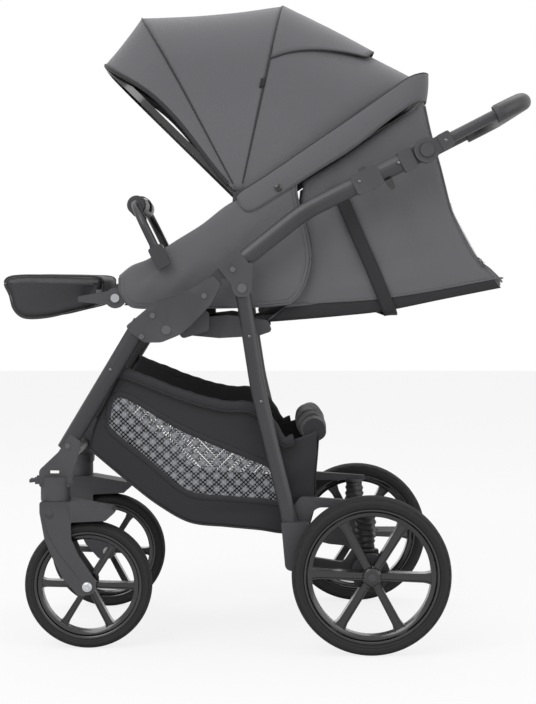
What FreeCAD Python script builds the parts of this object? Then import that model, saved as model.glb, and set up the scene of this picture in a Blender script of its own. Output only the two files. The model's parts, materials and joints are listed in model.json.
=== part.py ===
import FreeCAD, Part
import math
import os
import re

from FreeCAD import Placement, Rotation, Vector

# Baby stroller with a reclining seat unit on a folding chassis.
# Frame of the part: +X forward, +Y the left side, +Z up, origin on the floor below the middle of
# the whole length. The pieces are drawn from the rear axle (x = 0) and moved by origin_x at the end.

DIMENSIONS = {
    # overall layout
    "origin_x": 191.0, "wheelbase": 520.0, "side_y": 235.0, "gap": 0.3, "running_gap": 0.05,
    # rear wheels
    "rear_radius": 145.0, "rear_tyre_width": 46.0, "rear_tyre_depth": 24.0, "rear_rim_depth": 14.0,
    "rear_wheel_y": "=side_y + 37", "rear_hub_radius": 19.0, "rear_hub_length": 43.0, "rear_spoke_width": 14.0,
    # front wheels and swivels
    "front_radius": 117.5, "front_tyre_width": 40.0, "front_tyre_depth": 19.0, "front_rim_depth": 11.0,
    "front_wheel_y": 205.0, "front_hub_radius": 18.0, "front_hub_length": "=front_tyre_width + 6", "front_spoke_width": 12.0,
    "trail": 60.0, "fork_wall": 8.0, "fork_gap": 4.0, "fork_top": 274.0, "stem_radius": 8.0,
    "collar_radius": 28.0, "collar_height": 44.0, "axle_radius": 6.0, "spoke_depth": 14.0, "spokes": 6.0,
    "knob_radius": 7.0, "knob_depth": 6.0, "knob_travel": 3.0,
    # chassis tubes
    "tube_deep": 32.0, "tube_wide": 20.0, "wall": 1.6,
    "leg_deep": 32.0, "leg_wide": 24.0, "rear_leg_deep": 28.0, "rear_leg_wide": 18.0,
    "front_leg_top_y": "=side_y + 1", "front_leg_foot_y": "=front_wheel_y + 1", "cross_tube_radius": 11.0,
    # joints of the folding frame
    "fold_x": 373.0, "fold_z": 590.0, "housing_wide": 28.0, "lug_wide": 10.0, "lug_half": 13.0,
    "rivet_radius": 5.0, "leg_pivot_x": 235.0, "leg_pivot_z": 666.0, "bracket_wide": 26.0,
    "eye_radius": 15.0, "bracket_wall": 4.0,
    # handle
    "hub_x": -100.0, "hub_z": 916.0, "hub_radius": 23.0, "hub_depth": 13.0, "handle_y": "=side_y + 5",
    "handle_reach": 202.0, "handle_rise": 27.2, "handle_radius": 10.0, "handle_corner": 60.0,
    "grip_radius": 18.0, "button_radius": 12.7, "button_depth": 9.0, "button_proud": 4.5,
    "trigger_size": 20.0,
    # rear suspension and brake
    "arm_pivot_x": 137.0, "arm_pivot_z": 165.0, "arm_wide": 14.0, "arm_y": "=side_y - 22", "beam_radius": 9.0,
    "drum_radius": 35.0, "drum_wide": 14.0, "spring_x": 8.0, "spring_y": "=arm_y + 2", "spring_radius": 14.0,
    "spring_bottom": 187.0, "spring_top": 259.0, "boot_wall": 3.0, "boot_gap": 1.5,
    # seat unit
    "seat_tube_y": 178.0, "seat_tube_radius": 8.0, "seat_side_y": "=seat_tube_y + seat_tube_radius + 1.5", "fabric": 2.5,
    "step_x": 471.0, "step_z": 647.0, "step_disc": 19.0, "recline_x": 226.0, "recline_z": 595.0,
    "board": 8.0, "board_half": 150.0, "pad": 30.0, "cushion": 34.0,
    "hood_x": 240.0, "hood_z": 836.0, "hood_half": 163.0, "bow_wide": 12.0, "bow_thick": 2.5,
    "bow_crown": 110.0, "rear_bow_reach": 368.0, "middle_bow_reach": 371.5, "front_bow_reach": 353.0,
    "bumper_y": "=seat_tube_y + 19", "bumper_radius": 8.0, "bumper_grip_radius": 19.0, "bumper_rise": 86.0,
    "step_half": 140.0, "basket_half": 203.0,
}

document = FreeCAD.newDocument("Stroller")
sheet = document.addObject("Spreadsheet::Sheet", "Sizes")
for row, (alias, value) in enumerate(DIMENSIONS.items(), start=1):
    sheet.set(f"A{row}", alias)
    sheet.set(f"B{row}", str(value))
    sheet.setAlias(f"B{row}", alias)
document.recompute()


class Sizes:
    """The sheet's values, read by alias."""

    def __getattr__(self, alias):
        return float(sheet.get(alias))


size = Sizes()
NODES = []
WORDS = re.compile(r"\b(" + "|".join(sorted(DIMENSIONS, key=len, reverse=True)) + r")\b")


def formula(text):
    """Turn plain alias names into references to the sheet."""
    return WORDS.sub(r"Sizes.\1", str(text))


def bind(thing, **formulas):
    """Bind properties of an object to formulas of the sheet's cells."""
    for name, text in formulas.items():
        thing.setExpression(name.replace("__", "."), formula(text))
    return thing


def place(thing, x="0", y="0", z="0"):
    """Bind the place of an object."""
    return bind(thing, Placement__Base__x=x, Placement__Base__y=y, Placement__Base__z=z)


def rod(name, x, z, y_from, y_to, radius):
    """A round bar across the stroller, along Y."""
    bar = document.addObject("Part::Cylinder", name)
    bar.Placement = Placement(Vector(), Rotation(Vector(1, 0, 0), -90))
    bind(bar, Radius=radius, Height=f"({y_to}) - ({y_from})")
    return place(bar, x, y_from, z)


def post(name, x, y, z_from, z_to, radius):
    """A round bar that stands upright."""
    bar = document.addObject("Part::Cylinder", name)
    bind(bar, Radius=radius, Height=f"({z_to}) - ({z_from})")
    return place(bar, x, y, z_from)


def block(name, x, y, z):
    """A box between the two values of each pair."""
    box = document.addObject("Part::Box", name)
    bind(box, Length=f"({x[1]}) - ({x[0]})", Width=f"({y[1]}) - ({y[0]})", Height=f"({z[1]}) - ({z[0]})")
    return place(box, x[0], y[0], z[0])


def cut(name, base, *tools):
    """The base with the tools taken away."""
    result = document.addObject("Part::Cut", name)
    result.Base = base
    result.Tool = tools[0] if len(tools) == 1 else fuse(name + "_tools", *tools)
    return result


def fuse(name, *parts):
    """The parts as one solid."""
    result = document.addObject("Part::MultiFuse", name)
    result.Shapes = list(parts)
    return result


def mirrored(source):
    """The same piece on the right side."""
    result = document.addObject("Part::Mirroring", source.Name + "_right")
    result.Source = source
    result.Normal = Vector(0, 1, 0)
    return result


def node(label, *parts):
    """A finished sub-part, moved to the part's own frame."""
    result = document.addObject("Part::Compound", label + "_node")
    result.Links = list(parts)
    result.Label = label
    place(result, x="-origin_x")
    NODES.append(result)
    return result


def both(label, left):
    """One sub-part that holds a left piece and its mirror image."""
    return node(label, left, mirrored(left))


def sides(label, left):
    """A left and a right sub-part."""
    return node(label + "_left", left), node(label + "_right", mirrored(left))


def corner_arc(before, corner, after, radius):
    """The start, middle and end of the arc that rounds a corner."""
    to_before = (before - corner).normalize()
    to_after = (after - corner).normalize()
    half = to_before.getAngle(to_after) / 2
    run = radius / math.tan(half)
    bisector = (to_before + to_after).normalize()
    centre = corner + bisector * (radius / math.sin(half))
    return corner + to_before * run, centre - bisector * radius, corner + to_after * run


def rounded_edges(points, radius, closed):
    """Straight runs between points, with each corner rounded by its own radius."""
    count = len(points)
    radii = radius if isinstance(radius, (list, tuple)) else [radius] * count
    edges = []
    inner = range(count) if closed else range(1, count - 1)
    arcs = {}
    for i in inner:
        if radii[i] > 0:
            arcs[i] = corner_arc(points[i - 1], points[i], points[(i + 1) % count], radii[i])
    for i in range(count if closed else count - 1):
        following = (i + 1) % count
        start = arcs[i][2] if i in arcs else points[i]
        end = arcs[following][0] if following in arcs else points[following]
        if (end - start).Length > 1e-4:
            edges.append(Part.LineSegment(start, end))
        if following in arcs:
            edges.append(Part.Arc(*arcs[following]))
    return edges


def plate(name, outline, y_from, y_to, radius=0):
    """A padded outline: points are (x, z), the thickness runs along Y."""
    body = document.addObject("PartDesign::Body", name)
    sketch = body.newObject("Sketcher::SketchObject", name + "_outline")
    plane = next(p for p in body.Origin.OriginFeatures if p.Role == "XZ_Plane")
    sketch.AttachmentSupport = (plane, "")
    sketch.MapMode = "FlatFace"
    points = [Vector(x, z, 0) for x, z in outline]
    sketch.addGeometry(rounded_edges(points, radius, True), False)
    pad = body.newObject("PartDesign::Pad", name + "_pad")
    pad.Profile = sketch
    pad.Reversed = True
    bind(pad, Length=f"({y_to}) - ({y_from})")
    return place(body, y=y_from)


def spine(name, points, radius):
    """A path of straight runs joined by arcs."""
    path = document.addObject("Part::Feature", name)
    edges = rounded_edges([Vector(*p) for p in points], radius, False)
    path.Shape = Part.Wire([edge.toShape() for edge in edges])
    return path


def swept(name, path, deep, wide, side=Vector(0, 1, 0)):
    """An oval bar along a path: wide along the side direction, deep across it."""
    first = path.Shape.Edges[0]
    start = first.valueAt(first.FirstParameter)
    tangent = first.tangentAt(first.FirstParameter)
    across = side - tangent * side.dot(tangent)
    section = document.addObject("Part::Ellipse", name + "_section")
    turn = Rotation(across.cross(tangent).normalize(), across.normalize(), tangent, "ZXY")
    section.Placement = Placement(start, turn)
    bind(section, MajorRadius=f"({deep}) / 2", MinorRadius=f"({wide}) / 2")
    bar = document.addObject("Part::Sweep", name)
    bar.Sections = [section]
    bar.Spine = (path, [f"Edge{i + 1}" for i in range(len(path.Shape.Edges))])
    bar.Solid = True
    return bar


def tube(name, points, radius, deep, wide):
    """A hollow tube and the solid bar that fills its outside, used to cut its seats."""
    path = spine(name + "_path", points, radius)
    outside = swept(name + "_outside", path, deep, f"({wide}) - 0.001")
    inside = swept(name + "_inside", path, f"({deep}) - 2 * wall", f"({wide}) - 2 * wall")
    return cut(name, outside, inside), outside


def along(x, z, angle, distance, offset=0.0):
    """A point at a distance from (x, z) in a direction, with an offset to its left."""
    turn = math.radians(angle)
    return (x + distance * math.cos(turn) - offset * math.sin(turn),
            z + distance * math.sin(turn) + offset * math.cos(turn))


def strip(x, z, angle, start, end, half):
    """The four corners of a straight strip."""
    return [along(x, z, angle, d, o) for d, o in ((start, half), (end, half), (end, -half), (start, -half))]


def ring(name, x, z, y_from, y_to, outer, inner):
    """A disc with a bore."""
    return cut(name, rod(name + "_disc", x, z, y_from, y_to, outer),
               rod(name + "_bore", x, z, f"({y_from}) - 1", f"({y_to}) + 1", inner))


def rivet(name, x, z, y_face, shank, radius):
    """A round-headed rivet that goes into a face that looks outwards."""
    head = rod(name + "_head", x, z, y_face, f"({y_face}) + 2", f"({radius}) * 1.7")
    return fuse(name, head, rod(name + "_shank", x, z, f"({y_face}) - ({shank})", y_face, radius))


# ---------------------------------------------------------------- wheels

def revolved(body, name, outline, arcs=()):
    """Revolve an outline of (y, r) points about the Y axis."""
    sketch = body.newObject("Sketcher::SketchObject", name + "_section")
    plane = next(p for p in body.Origin.OriginFeatures if p.Role == "XY_Plane")
    sketch.AttachmentSupport = (plane, "")
    sketch.MapMode = "FlatFace"
    points = [Vector(r, y, 0) for y, r in outline]
    edges = []
    for i, point in enumerate(points):
        following = points[(i + 1) % len(points)]
        if i in arcs:
            middle = Vector(arcs[i][1], arcs[i][0], 0)
            edges.append(Part.Arc(point, middle, following))
        else:
            edges.append(Part.LineSegment(point, following))
    sketch.addGeometry(edges, False)
    feature = body.newObject("PartDesign::Revolution", name)
    feature.Profile = sketch
    feature.ReferenceAxis = (sketch, ["V_Axis"])
    feature.Angle = 360
    return feature


def wheel(end, x, z):
    """A tyre and a spoked rim with its hub."""
    radius, width = getattr(size, end + "_radius"), getattr(size, end + "_tyre_width")
    seat = radius - getattr(size, end + "_tyre_depth")
    inner = seat - getattr(size, end + "_rim_depth")
    half, lip = width / 2, width / 2 - 5

    tyre = document.addObject("PartDesign::Body", end + "_tyre_body")
    shoulder = seat + (radius - seat) * 0.66
    profile = [(-lip, seat), (lip, seat), (lip, seat + 2.3), (half, seat + 6), (half - 2, shoulder),
               (2 - half, shoulder), (-half, seat + 6), (-lip, seat + 2.3)]
    revolved(tyre, end + "_tyre_ring", profile, {4: (0, radius)})

    rim = document.addObject("PartDesign::Body", end + "_rim_body")
    spoke_half = getattr(size, end + "_spoke_width") / 2
    sketch = rim.newObject("Sketcher::SketchObject", end + "_spoke_outline")
    plane = next(p for p in rim.Origin.OriginFeatures if p.Role == "XZ_Plane")
    sketch.AttachmentSupport = (plane, "")
    sketch.MapMode = "FlatFace"
    reach = inner + 2
    corners = [(0, -spoke_half * 0.8), (reach, -spoke_half), (reach, spoke_half), (0, spoke_half * 0.8)]
    sketch.addGeometry(rounded_edges([Vector(a, b, 0) for a, b in corners], 0, True), False)
    pad = rim.newObject("PartDesign::Pad", end + "_spoke")
    pad.Profile = sketch
    pad.Midplane = True
    bind(pad, Length="spoke_depth")
    document.recompute()
    pattern = rim.newObject("PartDesign::PolarPattern", end + "_spokes")
    pattern.Originals = [pad]
    pattern.Axis = (sketch, ["N_Axis"])
    pattern.Angle = 360
    bind(pattern, Occurrences="spokes")
    rim.Tip = pattern
    channel = [(-lip, seat), (lip, seat), (lip, seat + 2), (lip + 3, seat + 2), (lip + 3, inner + 4),
               (lip - 6, inner), (6 - lip, inner), (-lip - 3, inner + 4), (-lip - 3, seat + 2), (-lip, seat + 2)]
    rim.Tip = revolved(rim, end + "_channel", channel)
    hub_half = getattr(size, end + "_hub_length") / 2
    hub_radius = getattr(size, end + "_hub_radius")
    hub = [(-hub_half, 0), (hub_half, 0), (hub_half, hub_radius - 3), (hub_half - 3, hub_radius),
           (-hub_half, hub_radius)]
    rim.Tip = revolved(rim, end + "_hub", hub)

    centre_y = end + "_wheel_y"
    place(tyre, x, centre_y, z)
    place(rim, x, centre_y, z)
    face = f"{centre_y} + {end}_hub_length / 2"
    bore = rod(end + "_bore", x, z, f"{centre_y} - {end}_hub_length", f"{face} - 8", "axle_radius + running_gap")
    if end == "rear":
        knob_room = rod("rear_knob_room", x, z, f"{face} - 8", f"{face} + 1", "knob_radius + gap")
        spoked = cut("rear_wheel_rim", rim, bore, knob_room)
    else:
        through = rod("front_through", x, z, f"{face} - 9", f"{face} + 1", "axle_radius + running_gap")
        spoked = cut("front_wheel_rim", rim, bore, through)
    sides(end + "_tyre", tyre)
    sides(end + "_rim", spoked)


wheel("rear", "0", "rear_radius")
wheel("front", "wheelbase", "front_radius")
rear_face = "rear_wheel_y + rear_hub_length / 2"
sides("hub_button", rod("knob", "0", "rear_radius", f"{rear_face} - knob_depth + knob_travel",
                        f"{rear_face} + knob_travel", "knob_radius"))

# ---------------------------------------------------------------- front swivels

axle_x, axle_z = size.wheelbase, size.front_radius
swivel_x = "wheelbase + trail"
fork_outline = [
    (27 + axle_x + 60, 274), (27 + axle_x + 60, 254), (axle_x + 78, 204), (axle_x + 64, 171), (axle_x + 45, 133),
    (axle_x + 16, 100), (axle_x - 16, 104), (axle_x - 16, 128), (axle_x + 16, 174), (axle_x + 29, 204),
    (axle_x + 30, 236), (axle_x - 34, 239), (axle_x - 52, 255), (axle_x - 44, 261), (axle_x + 30, 274)]
fork_radii = [4, 8, 20, 30, 20, 16, 16, 12, 20, 20, 2, 4, 2, 4, 20]
fork_inner = "front_wheel_y - front_hub_length / 2 - gap - fork_wall"
fork_outer = "front_wheel_y + front_hub_length / 2 + gap + fork_wall"
fork_plate = plate("fork_plate", fork_outline, fork_inner, fork_outer, fork_radii)
wheel_room = rod("wheel_room", "wheelbase", "front_radius", f"{fork_inner} + fork_wall",
                 f"{fork_outer} - fork_wall", "front_radius + fork_gap")
stem = post("stem", swivel_x, "front_wheel_y", "fork_top - 2", "fork_top + gap + collar_height - 4", "stem_radius")
fork_axle_bore = rod("fork_axle_bore", "wheelbase", "front_radius", f"{fork_inner} - 1", f"{fork_outer} + 1",
                     "axle_radius")
sides("front_fork", cut("fork", fuse("fork_blank", fork_plate, stem), wheel_room, fork_axle_bore))
sides("front_axle", fuse(
    "axle_bolt", rod("axle_shank", "wheelbase", "front_radius", fork_inner, fork_outer, "axle_radius"),
    rod("axle_head", "wheelbase", "front_radius", fork_outer, f"{fork_outer} + 3", "axle_radius + 3"),
    rod("axle_nut", "wheelbase", "front_radius", f"{fork_inner} - 3", fork_inner, "axle_radius + 3")))

# ---------------------------------------------------------------- front frame

leg_top = (419, size.front_leg_top_y, 603)
leg_foot = (size.wheelbase + size.trail - 18, size.front_leg_foot_y, 368)


def leg_at(z):
    """The middle of the front leg at a height, as X and Y."""
    share = (leg_top[2] - z) / (leg_top[2] - leg_foot[2])
    return tuple(leg_top[i] + (leg_foot[i] - leg_top[i]) * share for i in (0, 1))


front_tube, front_leg_bar = tube("front_tube", [leg_top, leg_foot], 0, "leg_deep", "leg_wide")

housing_y = ("side_y + 1 - housing_wide / 2", "side_y + 1 + housing_wide / 2")
housing_outline = [(287, 689), (273, 673), (291, 637), (326, 600), (348, 581), (382, 567), (413, 567),
                   (439, 587), (446, 597), (402, 634), (389, 643), (335, 660)]
housing_radii = [6, 6, 40, 60, 30, 30, 20, 10, 4, 4, 12, 30]
housing_plate = plate("housing_plate", housing_outline, *housing_y, housing_radii)
lug_angle = 135.0
fold_travel = 54.0
slot_half = size.lug_half + 2
slot_room = 170.0
slot_outline = [
    along(size.fold_x, size.fold_z, lug_angle, 0, -slot_half),
    along(size.fold_x, size.fold_z, lug_angle, slot_room, -slot_half),
    along(size.fold_x, size.fold_z, lug_angle + fold_travel / 2, slot_room * 1.3),
    along(size.fold_x, size.fold_z, lug_angle + fold_travel, slot_room, slot_half),
    along(size.fold_x, size.fold_z, lug_angle + fold_travel, 0, slot_half)]
slot_y = ("side_y - lug_wide / 2 - 0.5", "side_y + lug_wide / 2 + 0.5")
slot = fuse("lug_slot", plate("slot_sweep", slot_outline, *slot_y),
            rod("slot_round", "fold_x", "fold_z", *slot_y, "lug_half + 2"))
rib_count = 8
rib_start, rib_end = Vector(341, 658, 0), Vector(386, 645, 0)
ribs = []
for i in range(rib_count):
    spot = rib_start + (rib_end - rib_start) * (i / (rib_count - 1))
    ribs.append(rod(f"grip_rib_{i}", spot.x, spot.y, f"{slot_y[1]} + 1", f"{housing_y[1]} + 1", 2.2))
front_rivets = [
    rivet("fold_bolt", "fold_x", "fold_z", housing_y[1], "housing_wide", "rivet_radius"),
    rivet("leg_bolt_a", 398, 616, housing_y[1], "7", "3"),
    rivet("leg_bolt_b", 418, 578, housing_y[1], "7", "3"),
    rivet("housing_bolt", 304, 652, housing_y[1], "7", "3")]
fold_housing = cut("fold_housing", fuse("housing_blank", housing_plate, *ribs), slot, front_leg_bar,
                   *front_rivets)

bracket_y = ("front_wheel_y - 16", "front_wheel_y + 17")
post_x = size.wheelbase + size.trail
caster_outline = [(post_x - 48, 384), (post_x - 29, 398), (post_x - 6, 364), (post_x + 29, 331), (post_x + 29, 300),
                  (post_x - 29, 300), (post_x - 30, 322)]
caster_plate = plate("caster_plate", caster_outline, *bracket_y, [4, 4, 20, 12, 4, 4, 20])
collar = post("collar", swivel_x, "front_wheel_y", "fork_top + gap", "fork_top + gap + collar_height",
              "collar_radius")
stem_bore = post("stem_bore", swivel_x, "front_wheel_y", "fork_top", "fork_top + gap + collar_height - 3",
                 "stem_radius + running_gap")
ear_y = [("front_wheel_y - 15", "front_wheel_y - 11.3"), ("front_wheel_y + 11.3", "front_wheel_y + 15")]
ears = [block(f"lock_ear_{i}", (post_x + 24, post_x + 37), pair, (305, 318)) for i, pair in enumerate(ear_y)]
lock_pin_bore = rod("lock_pin_bore", post_x + 32, 311.5, "front_wheel_y - 14", "front_wheel_y + 14",
                    "2 + running_gap")
caster_rivets = [rivet("sleeve_bolt", post_x - 24, 376, bracket_y[1], "6", "3")]
caster_bracket = cut("caster_bracket", fuse("caster_blank", caster_plate, collar, *ears), stem_bore,
                     front_leg_bar, lock_pin_bore, *caster_rivets)
lock_tab = fuse("lock_tab", rod("lock_pin", post_x + 32, 311.5, "front_wheel_y - 13.8", "front_wheel_y + 13.8", "2"),
                rod("lock_knuckle", post_x + 32, 311.5, "front_wheel_y - 11", "front_wheel_y + 11", "2.7"),
                plate("lock_blade", [(post_x + 32, 309), (post_x + 48, 307), (post_x + 48, 314), (post_x + 32, 314)],
                      "front_wheel_y - 11", "front_wheel_y + 11", [0, 2, 2, 0]))

adapter_y = ("203", housing_y[0])
adapter = cut("adapter", plate("adapter_plate", [(296, 588), (348, 572), (352, 596), (352, 612), (296, 626)],
                               *adapter_y, [8, 8, 0, 4, 8]),
              rod("pin_seat", 322, 606, f"{adapter_y[0]} - 1", f"{housing_y[0]} - 5", "6 + gap"),
              block("pin_entry", ("322 - 6 - gap", "322 + 6 + gap"), (f"{adapter_y[0]} - 1", f"{housing_y[0]} - 5"), (606, 640)))

both("front_legs", cut("front_leg", front_tube, *front_rivets, *caster_rivets))
both("fold_housings", fold_housing)
both("caster_brackets", caster_bracket)
both("seat_adapters", adapter)
node("front_cross_tube", cut(
    "cross_tube", rod("cross_bar", post_x - 10, 342, f"-({bracket_y[0]})", bracket_y[0], "cross_tube_radius"),
    rod("cross_bar_inside", post_x - 10, 342, "-250", "250", "cross_tube_radius - wall")))
sides("swivel_lock", lock_tab)
all_front_rivets = front_rivets + caster_rivets
node("front_frame_rivets", *all_front_rivets, *[mirrored(r) for r in all_front_rivets])

# ---------------------------------------------------------------- upper frame

side_bend = (124, 804)
tube_direction = -math.degrees(math.atan2(size.hub_z - side_bend[1], side_bend[0] - size.hub_x))
side_end = along(size.hub_x, size.hub_z, tube_direction, 27)
side_points = [(264, size.side_y, 692.5), (side_bend[0], size.side_y, side_bend[1]), (side_end[0], size.side_y, side_end[1])]
side_tube, side_bar = tube("side_tube", side_points, 250, "tube_deep", "tube_wide")
both("side_tubes", side_tube)

leg_bracket_y = ("side_y - bracket_wide / 2", "side_y + bracket_wide / 2")
sleeve_half = size.tube_deep / 2 + size.bracket_wall
sleeve_angle = 141.5
sleeve_plate = plate("sleeve_plate", strip(264, 692.5, sleeve_angle, -5, 44, sleeve_half), *leg_bracket_y, 5)
lobe_outline = [(215, 716), (258, 690), (253, 664), (246, 650), (224, 650), (217, 664)]
lobe_plate = plate("lobe_plate", lobe_outline, *leg_bracket_y, [4, 4, 6, 10, 10, 6])
lug_strip = plate("lug_strip", strip(size.fold_x, size.fold_z, lug_angle, 0, 148, size.lug_half),
                  "side_y - lug_wide / 2", "side_y + lug_wide / 2")
lug_eye = rod("lug_eye", "fold_x", "fold_z", "side_y - lug_wide / 2", "side_y + lug_wide / 2", "lug_half")
eye_slot = block("eye_slot", (200, 272), ("side_y - rear_leg_wide / 2 - 0.6", "side_y + rear_leg_wide / 2 + 0.6"),
                 (630, "leg_pivot_z + eye_radius + 2"))
upper_rivets = [
    rivet("leg_pivot_bolt", "leg_pivot_x", "leg_pivot_z", leg_bracket_y[1], "bracket_wide", "rivet_radius"),
    rivet("sleeve_bolt_a", 252, 700, leg_bracket_y[1], "2.8", "3")]
fold_bore = rod("fold_bore", "fold_x", "fold_z", "side_y - 20", "side_y + 20", "rivet_radius + running_gap")
leg_bracket = cut("leg_bracket", fuse("bracket_blank", cut("lobe_fork", fuse("lobe_blank", sleeve_plate,
                  lobe_plate), eye_slot), cut("lug_clear", fuse("lug", lug_strip, lug_eye), eye_slot)),
                  side_bar, fold_bore, *upper_rivets)
both("leg_brackets", leg_bracket)

hub_inner_y = ("side_y - 9", "handle_y - 2")
hub_outer_y = ("handle_y - 2 + gap", "handle_y - 2 + gap + hub_depth")
hub_pin = rod("hub_pin", "hub_x", "hub_z", "side_y - 5", "handle_y + 1.8", "rivet_radius")
hub_bore = rod("hub_bore", "hub_x", "hub_z", "side_y - 20", "handle_y + 4", "rivet_radius + running_gap")
socket_in = plate("socket_in", strip(size.hub_x, size.hub_z, tube_direction, size.hub_radius + 3, 52, 20),
                  *leg_bracket_y, 4)
neck_in = plate("neck_in", strip(size.hub_x, size.hub_z, tube_direction, 0, 30, 16), *hub_inner_y)
disc_in = rod("disc_in", "hub_x", "hub_z", *hub_inner_y, "hub_radius")
hub_inner = cut("hub_inner", fuse("hub_inner_blank", socket_in, neck_in, disc_in), side_bar, hub_pin)
collar_start, collar_end = 94, 147
collar_outline = strip(size.hub_x, size.hub_z, tube_direction, collar_start, collar_end, sleeve_half)
trigger_collar = cut("trigger_collar", plate("collar_plate", collar_outline, *leg_bracket_y, 6), side_bar)
cap_x, cap_z = along(size.hub_x, size.hub_z, tube_direction, collar_start + 25, sleeve_half)
collar_cap = rod("collar_cap", cap_x, cap_z, "side_y - 6", "side_y + 6", "7")
trigger_sleeve = cut("trigger_sleeve", fuse("trigger_blank", trigger_collar, collar_cap), side_bar)
node("tube_collars", hub_inner, trigger_sleeve, mirrored(hub_inner), mirrored(trigger_sleeve))
upper_all = upper_rivets + [hub_pin]
node("upper_frame_rivets", *upper_all, *[mirrored(r) for r in upper_all])

trigger_outline = [along(size.hub_x, size.hub_z, tube_direction, collar_start - d, -size.tube_deep / 2 - o)
                   for d, o in ((1.5, 0.4), (15.5, 0.4), (13.5, 20), (5.5, 20))]
trigger = plate("trigger", trigger_outline, "side_y - trigger_size / 2", "side_y + trigger_size / 2",
                [1.5, 1.5, 3, 3])
sides("fold_trigger", trigger)

# ---------------------------------------------------------------- handle

handle_angle = 180 - size.handle_rise
arm_start = along(size.hub_x, size.hub_z, handle_angle, 27)
arm_end = along(size.hub_x, size.hub_z, handle_angle, size.handle_reach)
y = size.handle_y
handle_points = [(arm_start[0], y, arm_start[1]), (arm_end[0], y, arm_end[1]),
                 (arm_end[0], -y, arm_end[1]), (arm_start[0], -y, arm_start[1])]
handle_tube, handle_bar = tube("handle_bar", handle_points, size.handle_corner, "handle_radius * 2",
                               "handle_radius * 2")
grip_start = along(size.hub_x, size.hub_z, handle_angle, size.handle_reach - size.handle_corner)
grip_points = [(grip_start[0], y, grip_start[1]), (arm_end[0], y, arm_end[1]),
               (arm_end[0], -y, arm_end[1]), (grip_start[0], -y, grip_start[1])]
grip_path = spine("grip_path", grip_points, size.handle_corner - 0.5)
handle_grip = cut("grip", swept("grip_outside", grip_path, "grip_radius * 2", "grip_radius * 2 - 0.001"),
                  handle_bar)
node("handle_tube", handle_tube)
node("handle_grip", handle_grip)
socket_out = plate("socket_out", strip(size.hub_x, size.hub_z, handle_angle, size.hub_radius + 3, 50, 15),
                   "handle_y - 13", "handle_y + 13", 4)
neck_out = plate("neck_out", strip(size.hub_x, size.hub_z, handle_angle, 0, 30, 14), *hub_outer_y)
disc_out = rod("disc_out", "hub_x", "hub_z", *hub_outer_y, "hub_radius")
button_room = rod("button_room", "hub_x", "hub_z", f"{hub_outer_y[1]} - button_depth", f"{hub_outer_y[1]} + 1",
                  "button_radius + gap")
both("handle_hub_outer", cut("hub_outer", fuse("hub_outer_blank", socket_out, neck_out, disc_out), handle_bar,
                             button_room, hub_bore))
sides("handle_button", rod("button", "hub_x", "hub_z", f"{hub_outer_y[1]} - button_depth + button_proud",
                           f"{hub_outer_y[1]} + button_proud", "button_radius"))

# ---------------------------------------------------------------- rear legs, suspension and brake

rear_points = [(size.leg_pivot_x, size.side_y, size.leg_pivot_z), (206, size.side_y, 480), (136, size.side_y, 190)]
rear_leg, rear_leg_bar = tube("rear_tube", rear_points, 500, "rear_leg_deep", "rear_leg_wide")
leg_eye_y = ("side_y - rear_leg_wide / 2", "side_y + rear_leg_wide / 2")
leg_plug = rod("leg_plug", "leg_pivot_x", "leg_pivot_z", *leg_eye_y, "eye_radius")
leg_eye_bore = rod("leg_eye_bore", "leg_pivot_x", "leg_pivot_z", "side_y - 20", "side_y + 20",
                   "rivet_radius + running_gap")
both("rear_legs", cut("rear_leg", fuse("rear_leg_blank", rear_leg, leg_plug), leg_eye_bore))

foot_block = plate("foot_block", [(112, 238), (164, 238), (156, 150), (122, 146)], *leg_bracket_y, [6, 6, 12, 12])
arm_inner, arm_outer = "arm_y - arm_wide / 2", "arm_y + arm_wide / 2"
carrier_y = ("arm_y - 5", leg_bracket_y[0])
carrier = plate("carrier", [(-14, 262), (-14, 272), (128, 282), (158, 240), (155, 205), (118, 205), (104, 262)],
                *carrier_y, [2, 2, 10, 10, 4, 4, 20])
spring_seat = post("spring_seat", "spring_x", "spring_y", "spring_top", "spring_top + 5",
                   "spring_radius + boot_gap + boot_wall")
arm_pin = rod("arm_pin", "arm_pivot_x", "arm_pivot_z", arm_inner, leg_bracket_y[0], "6")
foot = cut("foot", fuse("foot_blank", foot_block, carrier, spring_seat, arm_pin), rear_leg_bar)
both("suspension_brackets", foot)

arm_outline = [(151, 176), (151, 156), (130, 146), (60, 128), (0, 122), (-21, 134), (-16, 184), (32, 184), (48, 160),
               (110, 170)]
swing_arm = cut("swing_arm", plate("arm_plate", arm_outline, arm_inner, arm_outer, [9, 9, 20, 20, 16, 12, 2, 2, 12, 20]),
                rod("arm_bore", "arm_pivot_x", "arm_pivot_z", f"{arm_inner} - 1", f"{arm_outer} + 1",
                    "6 + running_gap"))
perch = post("perch", "spring_x", "spring_y", "spring_bottom - 5", "spring_bottom",
             "spring_radius + boot_gap + boot_wall")
stub = rod("stub", "0", "rear_radius", arm_inner, f"{rear_face} - 8 - gap", "axle_radius")
axle_side = fuse("axle_side", swing_arm, perch, stub)
beam = rod("beam", "0", "rear_radius", f"-({arm_inner})", arm_inner, "beam_radius")
node("rear_axle_beam", fuse("axle_assembly", axle_side, mirrored(axle_side), beam))
drum_y = ("rear_wheel_y - rear_hub_length / 2 - 1 - drum_wide", "rear_wheel_y - rear_hub_length / 2 - 1")
both("brake_drums", ring("drum", "0", "rear_radius", *drum_y, "drum_radius", "axle_radius"))
both("suspension_springs", cut(
    "spring", post("spring_body", "spring_x", "spring_y", "spring_bottom", "spring_top", "spring_radius"),
    post("spring_hole", "spring_x", "spring_y", "spring_bottom - 1", "spring_top + 1", "spring_radius - 4")))
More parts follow.
